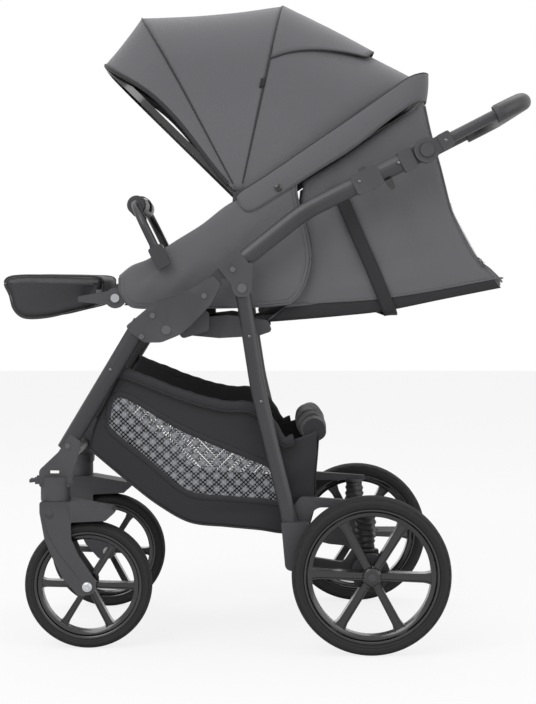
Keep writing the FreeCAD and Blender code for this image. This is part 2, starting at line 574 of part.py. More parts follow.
both("spring_boots", cut(
    "boot", post("boot_body", "spring_x", "spring_y", "spring_bottom", "spring_top",
                 "spring_radius + boot_gap + boot_wall"),
    post("boot_hole", "spring_x", "spring_y", "spring_bottom - 1", "spring_top + 1", "spring_radius + boot_gap")))
pedal_lever = plate("pedal_lever", [(-5, 158), (-30, 182), (-30, 192), (-14, 192), (8, 162)], "-11", "11",
                    [0, 6, 4, 6, 0])
pedal_bar = block("pedal_bar", (-82, -20), (-34, 34), (181, 190))
pedal_ring = rod("pedal_ring", "0", "rear_radius", "-11", "11", "beam_radius + 7")
pedal_bore = rod("pedal_bore", "0", "rear_radius", "-40", "40", "beam_radius + running_gap")
node("brake_pedal", cut("pedal", fuse("pedal_blank", pedal_lever, pedal_bar, pedal_ring), pedal_bore))

# ---------------------------------------------------------------- basket

basket_front = [leg_at(z)[0] - room for z, room in ((521, 12.9), (414, 34), (368, 50))]
basket_outline = [(basket_front[0], 521), (basket_front[1], 414), (basket_front[2], 368), (444, 306), (332, 232), (203, 218), (150, 212), (109, 231),
                  (103, 300), (92, 404), (150, 436), (215, 455), (273, 461), (341, 478), (409, 504)]
basket_radii = [4, 60, 30, 60, 80, 80, 30, 30, 100, 10, 60, 60, 60, 60, 40]
basket_outer = plate("basket_outer", basket_outline, "-basket_half", "basket_half", basket_radii)
inner_outline = [(basket_front[0] - 4, 560), (basket_front[1] - 6, 414), (basket_front[2] - 8, 370), (440, 311), (330, 238), (203, 224), (153, 218), (115, 236),
                 (109, 300), (99, 500)]
basket_inner = plate("basket_inner", inner_outline, "fabric - basket_half", "basket_half - fabric",
                     [0, 60, 26, 60, 80, 80, 26, 26, 100, 0])
hook_x, hook_y = leg_at(503)
front_hook = block("front_hook", (hook_x - 26, hook_x), ("basket_half - fabric", hook_y - size.leg_wide / 2 - 0.5), (503, 518))
node("basket", fuse("hung_basket", cut("basket_shell", basket_outer, basket_inner), front_hook,
                    mirrored(front_hook)))

# ---------------------------------------------------------------- seat frame

frame_front, frame_bend, frame_top = (451, 674), (240, 820), (-98, 1030)
y = size.seat_tube_y
seat_points = [(frame_front[0], y, frame_front[1]), (frame_bend[0], y, frame_bend[1]),
               (frame_top[0], y, frame_top[1]), (frame_top[0], -y, frame_top[1]),
               (frame_bend[0], -y, frame_bend[1]), (frame_front[0], -y, frame_front[1])]
seat_radii = [0, 200, 70, 70, 200, 0]
seat_tube, seat_bar = tube("seat_tube", seat_points, seat_radii, "seat_tube_radius * 2", "seat_tube_radius * 2")
step_inner_y = ("seat_tube_y - 16", "seat_tube_y - 4")
step_outer_y = ("seat_tube_y - 4 + gap", "seat_tube_y + 9")
step_plate = plate("step_plate", [(459, 650), (444, 668), (452, 682), (470, 672), (484, 656)], *step_inner_y, 4)
step_boss = rod("step_boss", "step_x", "step_z", *step_inner_y, "step_disc - 3")
step_pin = rod("step_pin", "step_x", "step_z", "seat_tube_y - 8", "seat_tube_y + 9", "rivet_radius")
hood_plate = plate("hood_plate", [(226, 818), (256, 800), (252, 842), (240, 846), (228, 842)],
                   "hood_half + 4", "seat_tube_y + 6", [0, 0, 8, 6, 8])
hood_pin = rod("hood_pin", "hood_x", "hood_z", "hood_half - 7", "hood_half + 5", "3")
bumper_angle = 64.0
socket_x, socket_z = 390.0, 728.0
bumper_socket = plate("bumper_socket", strip(socket_x, socket_z, bumper_angle, -26, 16, 14),
                      "seat_tube_y - 2", "bumper_y + 11", 5)
y = size.bumper_y
bar_foot = along(socket_x, socket_z, bumper_angle, -20)
bar_top = along(socket_x, socket_z, bumper_angle, size.bumper_rise + 18)
bumper_points = [(bar_foot[0], y, bar_foot[1]), (bar_top[0], y, bar_top[1]), (bar_top[0], -y, bar_top[1]),
                 (bar_foot[0], -y, bar_foot[1])]
bumper_tube, bumper_bar = tube("bumper", bumper_points, 55, "bumper_radius * 2", "bumper_radius * 2")
room_foot = along(socket_x, socket_z, bumper_angle, -20.3)
room_top = along(socket_x, socket_z, bumper_angle, 40)
bumper_room = swept("bumper_room", spine("bumper_room_path", [(room_foot[0], y, room_foot[1]),
                    (room_top[0], y, room_top[1])], 0), "bumper_radius * 2 + 0.2", "bumper_radius * 2 + 0.19")
fittings = fuse("fitting_blank", step_plate, step_boss, hood_plate, hood_pin, bumper_socket)
step_bore = rod("step_bore", "step_x", "step_z", "seat_tube_y - 20", "seat_tube_y + 7.2",
                "rivet_radius + running_gap")
seat_fitting = cut("seat_fitting", fittings, seat_bar, bumper_room, step_bore)
node("seat_frame", fuse("welded_frame", seat_tube, seat_fitting, mirrored(seat_fitting)))

upright = block("upright", (335, 355), ("seat_tube_y - 6", "seat_tube_y + 6"), (596, 744))
rail_outline = [(180, 586), (188, 606), (262, 616), (354, 606), (354, 580), (278, 573), (206, 577)]
base_rail = plate("base_rail", rail_outline, "seat_tube_y - 6", "seat_side_y + 7", [6, 6, 10, 6, 6, 20, 8])
seat_pin = rod("seat_pin", 322, 606, "seat_side_y", f"{housing_y[0]} - 5.5", "6")
cross_plate = plate("cross_plate", [(286, 600), (340, 600), (340, 606), (286, 606)], "-(seat_tube_y - 6)",
                    "seat_tube_y - 6")
rail_side = fuse("rail_side", upright, base_rail, seat_pin)
recline_pin = rod("recline_pin", "recline_x", "recline_z", "board_half - 4", "seat_tube_y", "rivet_radius")
rail_with_pin = fuse("rail_with_pin", rail_side, recline_pin)
base_frame = fuse("base_frame", rail_with_pin, mirrored(rail_with_pin), cross_plate)
node("seat_base_frame", cut("seat_base", base_frame, seat_bar, fuse("fitting_pair", seat_fitting,
     mirrored(seat_fitting))))

# ---------------------------------------------------------------- seat fabric and cushions

side_outline = [(462, 678), (438, 703), (360, 757), (253, 832), (134, 886), (134, 836), (119, 780), (109, 733),
                (111, 699), (126, 657), (149, 636), (211, 631), (434, 630), (456, 650)]
side_radii = [4, 10, 40, 60, 10, 20, 40, 40, 40, 30, 20, 20, 20, 10]
panel_y = ("seat_side_y", "seat_side_y + fabric")
side_panel = plate("side_panel", side_outline, *panel_y, side_radii)
seat_base_sheet = block("seat_base_sheet", (262, 450), ("-seat_side_y", "seat_side_y"), (632, 636))
upright_room = block("upright_room", (334.7, 355.3), ("seat_tube_y - 6.3", "seat_tube_y + 6.3"), (600, 660))
sheet_cut = cut("base_sheet", seat_base_sheet, fuse("upright_rooms", upright_room, mirrored(upright_room)))
socket_room = cut("side_with_room", side_panel, fuse("panel_tools", seat_fitting, bumper_room))
node("seat_shell", fuse("seat_tub", socket_room, mirrored(socket_room), sheet_cut))
cushion_block = plate("cushion_block", [(262, 636.3), (449, 636.3), (449, 670), (262, 670)], "-160", "160",
                      [8, 12, 16, 8])
node("seat_cushion", cushion_block)
strap = block("crotch_strap", (376, 384), (-14, 14), (670.3, 708))
buckle = plate("buckle", [(360, 708), (400, 708), (404, 720), (396, 744), (364, 744), (356, 720)], "-13", "13",
               [3, 3, 4, 8, 8, 4])
lap = block("lap_strap", (262, 287), (-155, 155), (670.3, 672.3))
lap_tie = block("lap_tie", (287, 384), (-14, 14), (670.3, 672.3))
node("harness", fuse("harness_straps", strap, buckle, lap, lap_tie))

band_outline = [(235, 844), (189, 873), (30, 982), (-70, 1052), (-104, 1058), (-104, 1006), (-53, 990), (32, 922),
                (220, 804), (248, 825)]
band_side = plate("band_side", band_outline, "seat_side_y + fabric + gap", "seat_side_y + 2 * fabric + gap",
                  [6, 60, 60, 20, 0, 0, 20, 60, 6, 4])
band_back = block("band_back", (-111, -108.5), ("-(seat_side_y + 2 * fabric + gap)",
                  "seat_side_y + 2 * fabric + gap"), (1006, 1058))
band_corner = block("band_corner", (-111, -104), ("seat_side_y + fabric + gap", "seat_side_y + 2 * fabric + gap"),
                    (1006, 1058))
node("hood_band", fuse("band", band_side, mirrored(band_side), band_back, band_corner, mirrored(band_corner)))

# ---------------------------------------------------------------- backrest

board_low, board_mid, board_end = (204, 606), (-31, 627.5), (-236, 668.5)
thick = size.board
board_outline = [board_low, board_mid, board_end, (board_end[0] + 2, board_end[1] + thick),
                 (board_mid[0] + 1, board_mid[1] + thick), (board_low[0], board_low[1] + thick)]
board_plate = plate("board_plate", board_outline, "-board_half", "board_half", [0, 0, 2, 2, 0, 0])
knuckle = rod("knuckle", "recline_x", "recline_z", "-board_half", "board_half", "10")
web = plate("knuckle_web", [(204, 606), (204, 614), (228, 605), (222, 590)], "-board_half", "board_half")
knuckle_bore = [rod(f"knuckle_bore_{i}", "recline_x", "recline_z", *pair, "rivet_radius + running_gap")
                for i, pair in enumerate((("board_half - 5", "board_half + 1"),
                                          ("-board_half - 1", "5 - board_half")))]
node("backrest_board", cut("backrest_plate", fuse("backrest_blank", board_plate, knuckle, web), *knuckle_bore))
lift = thick + size.gap
pad_top = thick + size.pad
pad_outline = [(board_low[0], board_low[1] + lift), (board_mid[0] + 1, board_mid[1] + lift),
               (board_end[0] + 2, board_end[1] + lift),
               (board_end[0] + 44, board_end[1] + pad_top - 4), (board_mid[0] + 6, board_mid[1] + pad_top),
               (206, board_low[1] + pad_top)]
node("backrest_pad", plate("backrest_pad_block", pad_outline, "-board_half", "board_half", [4, 0, 6, 14, 0, 14]))

gusset_outline = [(126, 657), (200, 600), (127, 608), (-31, 624), (-248, 667), (-249, 678), (-201, 721), (-155, 802),
                  (-149, 823), (-131, 893), (-114, 952), (-100, 1012), (-84, 984), (120, 868), (112, 733)]
gusset_radii = [0, 2, 60, 300, 5, 5, 40, 30, 30, 40, 40, 0, 0, 0, 0]
gusset_outer = plate("gusset_outer", gusset_outline, "-168", "168", gusset_radii)
gusset_inner_outline = [(129, 662), (208, 602), (127, 611), (-31, 627.2), (-245, 670), (-245, 676), (-198, 720),
                        (-152, 802), (-146, 823), (-128, 893), (-111, 952), (-90, 1030), (140, 890), (140, 733)]
gusset_inner = plate("gusset_inner", gusset_inner_outline, "fabric - 168", "168 - fabric",
                     [0, 2, 60, 0, 2.5, 2.5, 40, 30, 30, 40, 40, 0, 0, 0])
node("backrest_gusset", cut("gusset_shell", gusset_outer, gusset_inner))
strap_outline = [(73, 865), (46, 828), (-52, 618), (-26, 618), (70, 800)]
strap_side = plate("strap_side", strap_outline, "168.5", "171", [0, 10, 0, 0, 30])
strap_under = block("strap_under", (-52, -26), (-171, 171), (618, 621))
node("recline_strap", fuse("strap_loop", strap_side, mirrored(strap_side), strap_under))

# ---------------------------------------------------------------- footrest

step_disc_outer = rod("step_disc_outer", "step_x", "step_z", *step_outer_y, "step_disc")
step_arm = plate("step_arm", [(478, 634), (540, 640), (540, 650), (484, 660)], *step_outer_y, 3)
step_side = cut("step_side", fuse("step_side_blank", step_disc_outer, step_arm), step_pin)
bridge = [block("step_bridge", (528, 540), ("-(seat_tube_y - 3)", "seat_tube_y - 3"), (641, 649)),
          plate("step_board", [(504, 640), (665, 640), (665, 650), (504, 650)], "-step_half + 12",
                "step_half - 12", 2)]
node("footrest_board", fuse("footrest_frame", step_side, mirrored(step_side), *bridge))
step_cover_outline = [(500, 684), (590, 689), (657, 690), (680, 685), (683, 672), (674, 650), (666, 622),
                      (652, 611), (633, 608), (599, 611), (549, 623), (504, 634)]
step_cover = plate("step_cover", step_cover_outline, "-step_half", "step_half",
                   [8, 60, 20, 8, 8, 20, 10, 10, 10, 60, 60, 6])
cover_room = block("cover_room", (490, 665.3), ("-step_half + 11.7", "step_half - 11.7"), (639.7, 650.3))
bridge_room = block("bridge_room", (527.7, 540.3), ("-seat_tube_y", "seat_tube_y"), (639.7, 650.3))
node("footrest_cover", cut("padded_cover", step_cover, cover_room, bridge_room))
node("footrest_studs", fuse("stud", rod("stud_head", "step_x", "step_z", step_outer_y[1], f"{step_outer_y[1]} + 4",
     "8"), step_pin), mirrored(document.getObject("stud")))

# ---------------------------------------------------------------- bumper bar

node("bumper_tube", bumper_tube)
grip_half = 128
bumper_sleeve = rod("bumper_sleeve", bar_top[0], bar_top[1], -grip_half, grip_half, "bumper_grip_radius")
node("bumper_grip", cut("bumper_pad", bumper_sleeve, bumper_bar))

# ---------------------------------------------------------------- hood

def bow(name, reach, angle, layer):
    """A flat strip bent over the seat, hung on the hood pin in its own layer."""
    half = size.hood_half - layer * (size.bow_thick + size.gap)
    crown = size.bow_crown

    def at(distance, y):
        x, z = along(size.hood_x, size.hood_z, angle, distance)
        return (x, y, z)

    points = [at(9, half), at(reach, half), at(reach, -half), at(9, -half)]
    path = spine(name + "_path", points, crown)
    first = path.Shape.Edges[0]
    tangent = first.tangentAt(first.FirstParameter)
    across = Vector(0, 1, 0)
    section = document.addObject("Part::Plane", name + "_section")
    turn = Rotation(tangent.cross(across), across, tangent, "ZXY")
    start = first.valueAt(first.FirstParameter)
    section.Placement = Placement(start, turn).multiply(
        Placement(Vector(-size.bow_wide / 2, -size.bow_thick / 2, 0), Rotation()))
    bind(section, Length="bow_wide", Width="bow_thick")
    bar = document.addObject("Part::Sweep", name + "_strip")
    bar.Sections = [section]
    bar.Spine = (path, [f"Edge{i + 1}" for i in range(len(path.Shape.Edges))])
    bar.Solid = True
    eye = rod(name + "_eye", "hood_x", "hood_z", half - size.bow_thick / 2, half + size.bow_thick / 2, "9.5")
    bore = rod(name + "_bore", "hood_x", "hood_z", "-300", "300", "3 + running_gap")
    return node(name, cut(name + "_bar", fuse(name + "_blank", bar, eye, mirrored(eye)), bore))


BOWS = {"hood_rear_bow": ("rear_bow_reach", 102.5), "hood_middle_bow": ("middle_bow_reach", 61.0),
        "hood_front_bow": ("front_bow_reach", 44.4)}
for layer, (name, (reach, angle)) in enumerate(BOWS.items()):
    bow(name, getattr(size, reach), angle, layer)

HOOD_RIBS = [(43.0, 357), (61.0, 379), (82.0, 377), (102.5, 373), (117.5, 366), (131.0, 368), (143.5, 391)]


def hood_ribs(inset, start):
    """The closed sections of the hood, each in a plane through the hood pin."""
    sections = []
    half = size.hood_half + 9 - inset
    for angle, reach in HOOD_RIBS:
        crown = size.bow_crown - inset
        top = reach - inset
        bottom = start
        corners = []
        for distance, across in ((bottom, half), (top, half), (top, -half), (bottom, -half)):
            x, z = along(size.hood_x, size.hood_z, angle, distance)
            corners.append(Vector(x, across, z))
        edges = rounded_edges(corners, [0, crown, crown, 0], True)
        sections.append(Part.Wire([edge.toShape() for edge in edges]))
    return sections


hood_outside = document.addObject("Part::Feature", "hood_outside")
hood_outside.Shape = Part.makeLoft(hood_ribs(0, 16), True, True)
hood_inside = document.addObject("Part::Feature", "hood_inside")
hood_inside.Shape = Part.makeLoft(hood_ribs(size.fabric, 12), True, True)
node("hood_fabric", cut("hood_shell", hood_outside, hood_inside))

# ---------------------------------------------------------------- checks and files

document.recompute()
problems = [thing.Name for thing in document.Objects if set(thing.State) & {"Invalid", "Error"}]
for part in NODES:
    if part.Shape.isNull() or not part.Shape.isValid() or not part.Shape.Solids:
        problems.append(part.Label)
if problems:
    raise RuntimeError("not built: " + ", ".join(problems))
os.makedirs("parts", exist_ok=True)
for part in NODES:
    part.Shape.exportStep(f"parts/{part.Label}.step")
    box = part.Shape.BoundBox
    print(f"{part.Label:24s} solids {len(part.Shape.Solids)}  volume {part.Shape.Volume / 1000:8.2f} cm3  "
          f"x {box.XMin:7.1f} {box.XMax:7.1f}  y {box.YMin:7.1f} {box.YMax:7.1f}  z {box.ZMin:7.1f} {box.ZMax:7.1f}")
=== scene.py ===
"""A pushchair with a reclined seat, a folding hood and a shopping basket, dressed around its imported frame."""
import json
import logging
import math
from dataclasses import dataclass
from enum import Enum
from typing import Callable, Iterable, Optional, Sequence

import bmesh
import bpy
import numpy as np
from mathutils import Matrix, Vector, noise


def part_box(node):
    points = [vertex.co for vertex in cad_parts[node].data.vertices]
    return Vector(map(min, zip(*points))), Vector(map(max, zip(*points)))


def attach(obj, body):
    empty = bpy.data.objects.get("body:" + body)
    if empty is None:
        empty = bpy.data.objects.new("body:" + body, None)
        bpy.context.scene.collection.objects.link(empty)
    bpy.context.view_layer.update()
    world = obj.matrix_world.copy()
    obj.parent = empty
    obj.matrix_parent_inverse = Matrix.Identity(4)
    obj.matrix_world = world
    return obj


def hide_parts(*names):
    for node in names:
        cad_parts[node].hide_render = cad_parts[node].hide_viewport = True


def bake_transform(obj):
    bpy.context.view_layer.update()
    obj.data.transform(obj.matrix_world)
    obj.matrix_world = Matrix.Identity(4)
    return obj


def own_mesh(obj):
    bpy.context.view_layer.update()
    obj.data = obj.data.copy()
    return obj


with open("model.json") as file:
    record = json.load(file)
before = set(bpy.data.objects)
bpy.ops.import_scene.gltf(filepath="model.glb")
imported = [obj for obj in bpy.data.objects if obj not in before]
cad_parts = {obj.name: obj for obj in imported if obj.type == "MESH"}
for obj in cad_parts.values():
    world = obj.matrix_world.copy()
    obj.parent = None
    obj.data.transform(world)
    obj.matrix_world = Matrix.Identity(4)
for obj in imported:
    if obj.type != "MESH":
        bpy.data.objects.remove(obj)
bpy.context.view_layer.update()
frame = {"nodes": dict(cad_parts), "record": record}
LOG = logging.getLogger("pushchair")
MM = 0.001
SIDES = {"left": 1, "right": -1}
Point = tuple[float, float, float]


def middle(node: str) -> Vector:
    """The middle of a node's box, in metres."""
    low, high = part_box(node)
    return (low + high) / 2


AXLE_X = middle("rear_tyre_left").x


def at(x: float, y: float, z: float) -> Vector:
    """A place given in millimetres forward of the rear axle, to the left and above the floor.

    Args:
        x: distance forward of the rear axle.
        y: distance to the left of the middle.
        z: height above the floor.

    Returns:
        The place in the row frame, in metres.
    """
    return Vector((AXLE_X + x * MM, y * MM, z * MM))


# ---------------------------------------------------------------- shader maths


class Signal:
    """A shader socket that takes part in sums, products and comparisons."""

    def __init__(self, graph: "Graph", socket: bpy.types.NodeSocket) -> None:
        """Keep the socket and the graph that new nodes go into."""
        self.graph, self.socket = graph, socket

    def math(self, operation: str, first: object, second: object = 0.0) -> "Signal":
        """One Math node on two values."""
        return self.graph.node("ShaderNodeMath", {"operation": operation}, {0: first, 1: second})

    def __add__(self, other: object) -> "Signal":
        """self + other."""
        return self.math("ADD", self, other)

    __radd__ = __add__

    def __sub__(self, other: object) -> "Signal":
        """self - other."""
        return self.math("SUBTRACT", self, other)

    def __rsub__(self, other: object) -> "Signal":
        """other - self."""
        return self.math("SUBTRACT", other, self)

    def __mul__(self, other: object) -> "Signal":
        """self * other."""
        return self.math("MULTIPLY", self, other)

    __rmul__ = __mul__

    def __gt__(self, other: object) -> "Signal":
        """One where self is above other, else nought."""
        return self.math("GREATER_THAN", self, other)

    def __pow__(self, other: object) -> "Signal":
        """self to the power of other."""
        return self.math("POWER", self, other)


class Graph:
    """One material and its nodes."""

    def __init__(self, name: str) -> None:
        """Start an empty material with one main shader."""
        self.material = bpy.data.materials.new(name)
        self.material.use_nodes = True
        self.tree = self.material.node_tree
        self.tree.nodes.clear()
        self.shader = self.tree.nodes.new("ShaderNodeBsdfPrincipled")
        self.output = self.tree.nodes.new("ShaderNodeOutputMaterial")
        self.tree.links.new(self.shader.outputs[0], self.output.inputs["Surface"])
        self.place = self.node("ShaderNodeTexCoord", {}, {}, "Object")

    def put(self, socket: bpy.types.NodeSocket, value: object) -> None:
        """Link a signal to a socket, or set a plain value on it."""
        if isinstance(value, Signal):
            self.tree.links.new(value.socket, socket)
        elif isinstance(value, (tuple, list)) and socket.type == "RGBA":
            socket.default_value = (*value[:3], 1.0)
        else:
            socket.default_value = value

    def node(self, kind: str, settings: dict, sockets: dict, out: object = 0) -> Signal:
        """Make one node.

        Args:
            kind: the node's type.
            settings: its own settings, set first; "stops" are a ramp's stops.
            sockets: values or signals for its inputs, by name or number.
            out: the output to hand back.

        Returns:
            The chosen output.
        """
        made = self.tree.nodes.new(kind)
        for key, value in settings.items():
            if key == "stops":
                for stop, (position, colour) in zip(made.color_ramp.elements, value):
                    stop.position, stop.color = position, (*colour, 1.0)
            else:
                setattr(made, key, value)
        for key, value in sockets.items():
            self.put(made.inputs[key], value)
        return Signal(self, made.outputs[out])

    def mix(self, share: Signal, first: object, second: object) -> Signal:
        """Mix two colours by a share."""
        return self.node("ShaderNodeMix", {"data_type": "RGBA"}, {0: share, 6: first, 7: second}, 2)

    def scaled(self, factors: Point) -> Signal:
        """The object's own place, stretched along its axes."""
        return self.node("ShaderNodeMapping", {}, {"Vector": self.place, "Scale": factors})

    def speckle(self, scale: float, detail: float = 2.0, place: Optional[Signal] = None) -> Signal:
        """Soft random variation from nought to one."""
        return self.node("ShaderNodeTexNoise", {}, {"Vector": place or self.place, "Scale": scale,
                                                    "Detail": detail}, "Fac")

    def cells(self, scale: float, feature: str = "F1") -> Signal:
        """Distance to scattered points, for grain and pores."""
        return self.node("ShaderNodeTexVoronoi", {"feature": feature},
                         {"Vector": self.place, "Scale": scale}, "Distance")

    def bands(self, scale: float, direction: str, place: Optional[Signal] = None) -> Signal:
        """Even stripes from nought to one."""
        return self.node("ShaderNodeTexWave", {"bands_direction": direction},
                         {"Vector": place or self.place, "Scale": scale}, "Fac")

    def bump(self, height: Signal, depth: float, strength: float = 1.0) -> Signal:
        """A relief of so many metres from a height."""
        return self.node("ShaderNodeBump", {}, {"Height": height, "Distance": depth, "Strength": strength},
                         "Normal")

    def finish(self, **sockets: object) -> bpy.types.Material:
        """Set the main shader's sockets, with blanks in their names written as underlines."""
        for key, value in sockets.items():
            self.put(self.shader.inputs[key.replace("_", " ")], value)
        return self.material


# ---------------------------------------------------------------- finishes


@dataclass(frozen=True)
class Cloth:
    """Woven cloth with a diagonal rib and a slightly mottled yarn."""

    name: str
    colour: Point
    rib: float = 290.0
    relief: float = 0.0005
    roughness: float = 0.72
    sheen: float = 0.25
    mottle: float = 0.16

    def material(self) -> bpy.types.Material:
        """Build the material."""
        g = Graph(self.name)
        twill = g.bands(self.rib, "DIAGONAL")
        cross = g.bands(self.rib * 0.62, "DIAGONAL", g.scaled((1.0, -1.0, -1.0)))
        yarn = g.speckle(1500.0, 3.0)
        patch = g.speckle(9.0, 3.0)
        tone = twill * 0.35 + cross * 0.2 + yarn * 0.45
        light = tuple(min(c * (1 + self.mottle), 1.0) for c in self.colour)
        dark = tuple(c * (1 - self.mottle) for c in self.colour)
        worn = tuple(c * 0.9 for c in self.colour)
        colour = g.mix(patch * 0.3, g.mix(tone, dark, light), worn)
        return g.finish(Base_Color=colour, Roughness=yarn * 0.12 + (self.roughness - 0.06),
                        Sheen_Weight=self.sheen, Sheen_Roughness=0.45, Specular_IOR_Level=0.35,
                        Normal=g.bump(twill * 0.6 + cross * 0.3 + yarn * 0.3, self.relief, 0.5))


@dataclass(frozen=True)
class Hide:
    """Leatherette with a pebbled grain and creases, whose raised grain and creases are painted lighter as a
    painted highlight.
    """

    name: str
    colour: Point
    grain: float = 420.0
    roughness: float = 0.46

    def material(self) -> bpy.types.Material:
        """Build the material."""
        g = Graph(self.name)
        pebble = g.cells(self.grain)
        crease = g.speckle(45.0, 5.0)
        sheen = g.speckle(12.0, 2.0)
        # painted highlight: the raised grain and creases are painted up to 1.45 times as light
        painted_grain_highlight = tuple(c * 1.45 for c in self.colour)
        colour = g.mix(pebble * 0.8 + crease * 0.3, self.colour, painted_grain_highlight)
        return g.finish(Base_Color=colour, Roughness=sheen * 0.16 + (self.roughness - 0.08),
                        Specular_IOR_Level=0.5, Coat_Weight=0.08, Coat_Roughness=0.35,
                        Normal=g.bump(pebble * 0.8 + crease * 0.5, 0.0006, 0.55))


@dataclass(frozen=True)
class Moulded:
    """Moulded plastic or powder paint with a fine grain; its sharp convex edges are painted lighter in patches,
    as a painted highlight.
    """

    name: str
    colour: Point
    roughness: float
    grain: float = 1400.0
    relief: float = 0.00012
    coat: float = 0.0
    # how much lighter the painted edge highlight makes the sharp convex edges
    wear: float = 1.35

    def material(self) -> bpy.types.Material:
        """Build the material."""
        g = Graph(self.name)
        grain = g.speckle(self.grain, 2.0)
        smear = g.speckle(14.0, 3.0)
        # painted highlight: sharp convex edges, found by pointiness, are painted lighter in noise patches
        edge = g.node("ShaderNodeNewGeometry", {}, {}, "Pointiness")
        painted_edge_highlight = (edge - 0.52) * 9.0 * smear
        painted_edge_highlight.socket.node.use_clamp = True
        pale = tuple(min(c * self.wear + 0.012, 1.0) for c in self.colour)
        colour = g.mix(painted_edge_highlight, g.mix(grain, tuple(c * 0.9 for c in self.colour),
                                     tuple(c * 1.1 for c in self.colour)), pale)
        return g.finish(Base_Color=colour, Roughness=smear * 0.14 + (self.roughness - 0.07),
                        Coat_Weight=self.coat, Coat_Roughness=0.12, Specular_IOR_Level=0.5,
                        Normal=g.bump(grain, self.relief, 0.6))


@dataclass(frozen=True)
class Rubber:
    """Dull foam rubber with dust in its pores."""

    name: str
    colour: Point
    roughness: float = 0.78

    def material(self) -> bpy.types.Material:
        """Build the material."""
        g = Graph(self.name)
        pores = g.cells(900.0)
        dust = g.speckle(30.0, 4.0)
        colour = g.mix(dust * 0.5, self.colour, tuple(c * 1.5 + 0.004 for c in self.colour))
        return g.finish(Base_Color=colour, Roughness=dust * 0.15 + (self.roughness - 0.08),
                        Specular_IOR_Level=0.35, Normal=g.bump(pores, 0.0003, 0.6))


@dataclass(frozen=True)
class Metal:
    """Bright or blackened metal with fine drawn lines."""

    name: str
    colour: Point
    roughness: float
    lines: float = 60.0

    def material(self) -> bpy.types.Material:
        """Build the material."""
        g = Graph(self.name)
        drawn = g.speckle(self.lines, 4.0, g.scaled((1.0, 12.0, 1.0)))
        colour = g.mix(drawn, tuple(c * 0.85 for c in self.colour), self.colour)
        return g.finish(Base_Color=colour, Metallic=1.0, Roughness=drawn * 0.12 + (self.roughness - 0.05),
                        Normal=g.bump(drawn, 0.00008, 0.5))


@dataclass(frozen=True)
class Netting:
    """Open knitted net: pale yarn between small holes, in rows of lozenges."""

    name: str
    yarn: Point
    shade: Point
    mesh: float = 150.0

    def material(self) -> bpy.types.Material:
        """Build the material."""
        g = Graph(self.name)
        one = g.bands(self.mesh * 0.5, "DIAGONAL")
        two = g.bands(self.mesh * 0.5, "DIAGONAL", g.scaled((-1.0, 1.0, 1.0)))
        knot = one * two
        coarse = g.bands(24.0, "DIAGONAL") * g.bands(24.0, "DIAGONAL", g.scaled((-1.0, 1.0, 1.0)))
        fold = g.speckle(26.0, 3.0)
        tone = knot * 0.5 + coarse * 0.6 + fold * 0.35
        colour = g.mix(tone, self.shade, self.yarn)
        solid = (knot + coarse * 0.5 + fold * 0.3) > 0.34
        return g.finish(Base_Color=colour, Roughness=fold * 0.1 + 0.6, Alpha=solid,
                        Normal=g.bump(knot + coarse, 0.0008, 0.7))


@dataclass(frozen=True)
class Webbing:
    """Tightly woven strap with ribs across it."""

    name: str
    colour: Point
    ribs: float = 420.0

    def material(self) -> bpy.types.Material:
        """Build the material."""
        g = Graph(self.name)
        ribs = g.bands(self.ribs, "Z") * 0.6 + g.bands(self.ribs, "X") * 0.4
        fray = g.speckle(700.0, 2.0)
        colour = g.mix(ribs * 0.6 + fray * 0.4, tuple(c * 0.75 for c in self.colour),
                       tuple(c * 1.35 for c in self.colour))
        return g.finish(Base_Color=colour, Roughness=fray * 0.1 + 0.62, Specular_IOR_Level=0.4,
                        Normal=g.bump(ribs, 0.0004, 0.6))


CHARCOAL = (0.105, 0.104, 0.113)
FINISHES = {
    "frame_paint": Moulded("frame_paint", (0.022, 0.022, 0.025), 0.42, 900.0, 0.00008, 0.1),
    "dark_plastic": Moulded("dark_plastic", (0.034, 0.033, 0.037), 0.55, 1600.0, 0.0002),
    "gloss_plastic": Moulded("gloss_plastic", (0.006, 0.006, 0.007), 0.2, 300.0, 0.00003, 0.5, 1.1),
    "tyre_rubber": Rubber("tyre_rubber", (0.014, 0.014, 0.015)),
    "axle_steel": Metal("axle_steel", (0.62, 0.63, 0.65), 0.28),
    "stud_chrome": Metal("stud_chrome", (0.45, 0.46, 0.48), 0.1),
    "rivet_steel": Metal("rivet_steel", (0.16, 0.16, 0.17), 0.2),
    "grip_leatherette": Hide("grip_leatherette", (0.02, 0.02, 0.022), 300.0, 0.42),
    "step_leatherette": Hide("step_leatherette", (0.0125, 0.0125, 0.0145), 360.0, 0.55),
    "seat_fabric": Cloth("seat_fabric", CHARCOAL),
    "hood_cloth": Cloth("hood_cloth", CHARCOAL, 250.0, 0.0006, 0.7),
    "lining_fabric": Cloth("lining_fabric", (0.02, 0.02, 0.022), 420.0, 0.0003, 0.8, 0.1),
    "basket_fabric": Cloth("basket_fabric", (0.0135, 0.0135, 0.016), 420.0, 0.0003, 0.62, 0.15),
    "webbing": Webbing("webbing", (0.0125, 0.0125, 0.0145)),
    "spring_steel": Metal("spring_steel", (0.4, 0.4, 0.42), 0.3),
    "boot_rubber": Hide("boot_rubber", (0.014, 0.014, 0.015), 200.0, 0.5),
}
EXTRA = {
    "net": Netting("basket_net", (0.26, 0.265, 0.285), (0.035, 0.035, 0.04)),
    "piping": Cloth("dark_piping", (0.018, 0.018, 0.02), 500.0, 0.0003, 0.6, 0.1),
    "trim": Cloth("fabric_trim", (0.085, 0.084, 0.09), 360.0, 0.0004, 0.6, 0.3),
    "thread": Cloth("grey_thread", (0.06, 0.06, 0.065), 900.0, 0.0002, 0.6, 0.1),
    "plate": Moulded("blank_plate", (0.75, 0.76, 0.78), 0.35, 600.0, 0.00004, 0.2),
}
MATERIALS: dict[str, bpy.types.Material] = {}


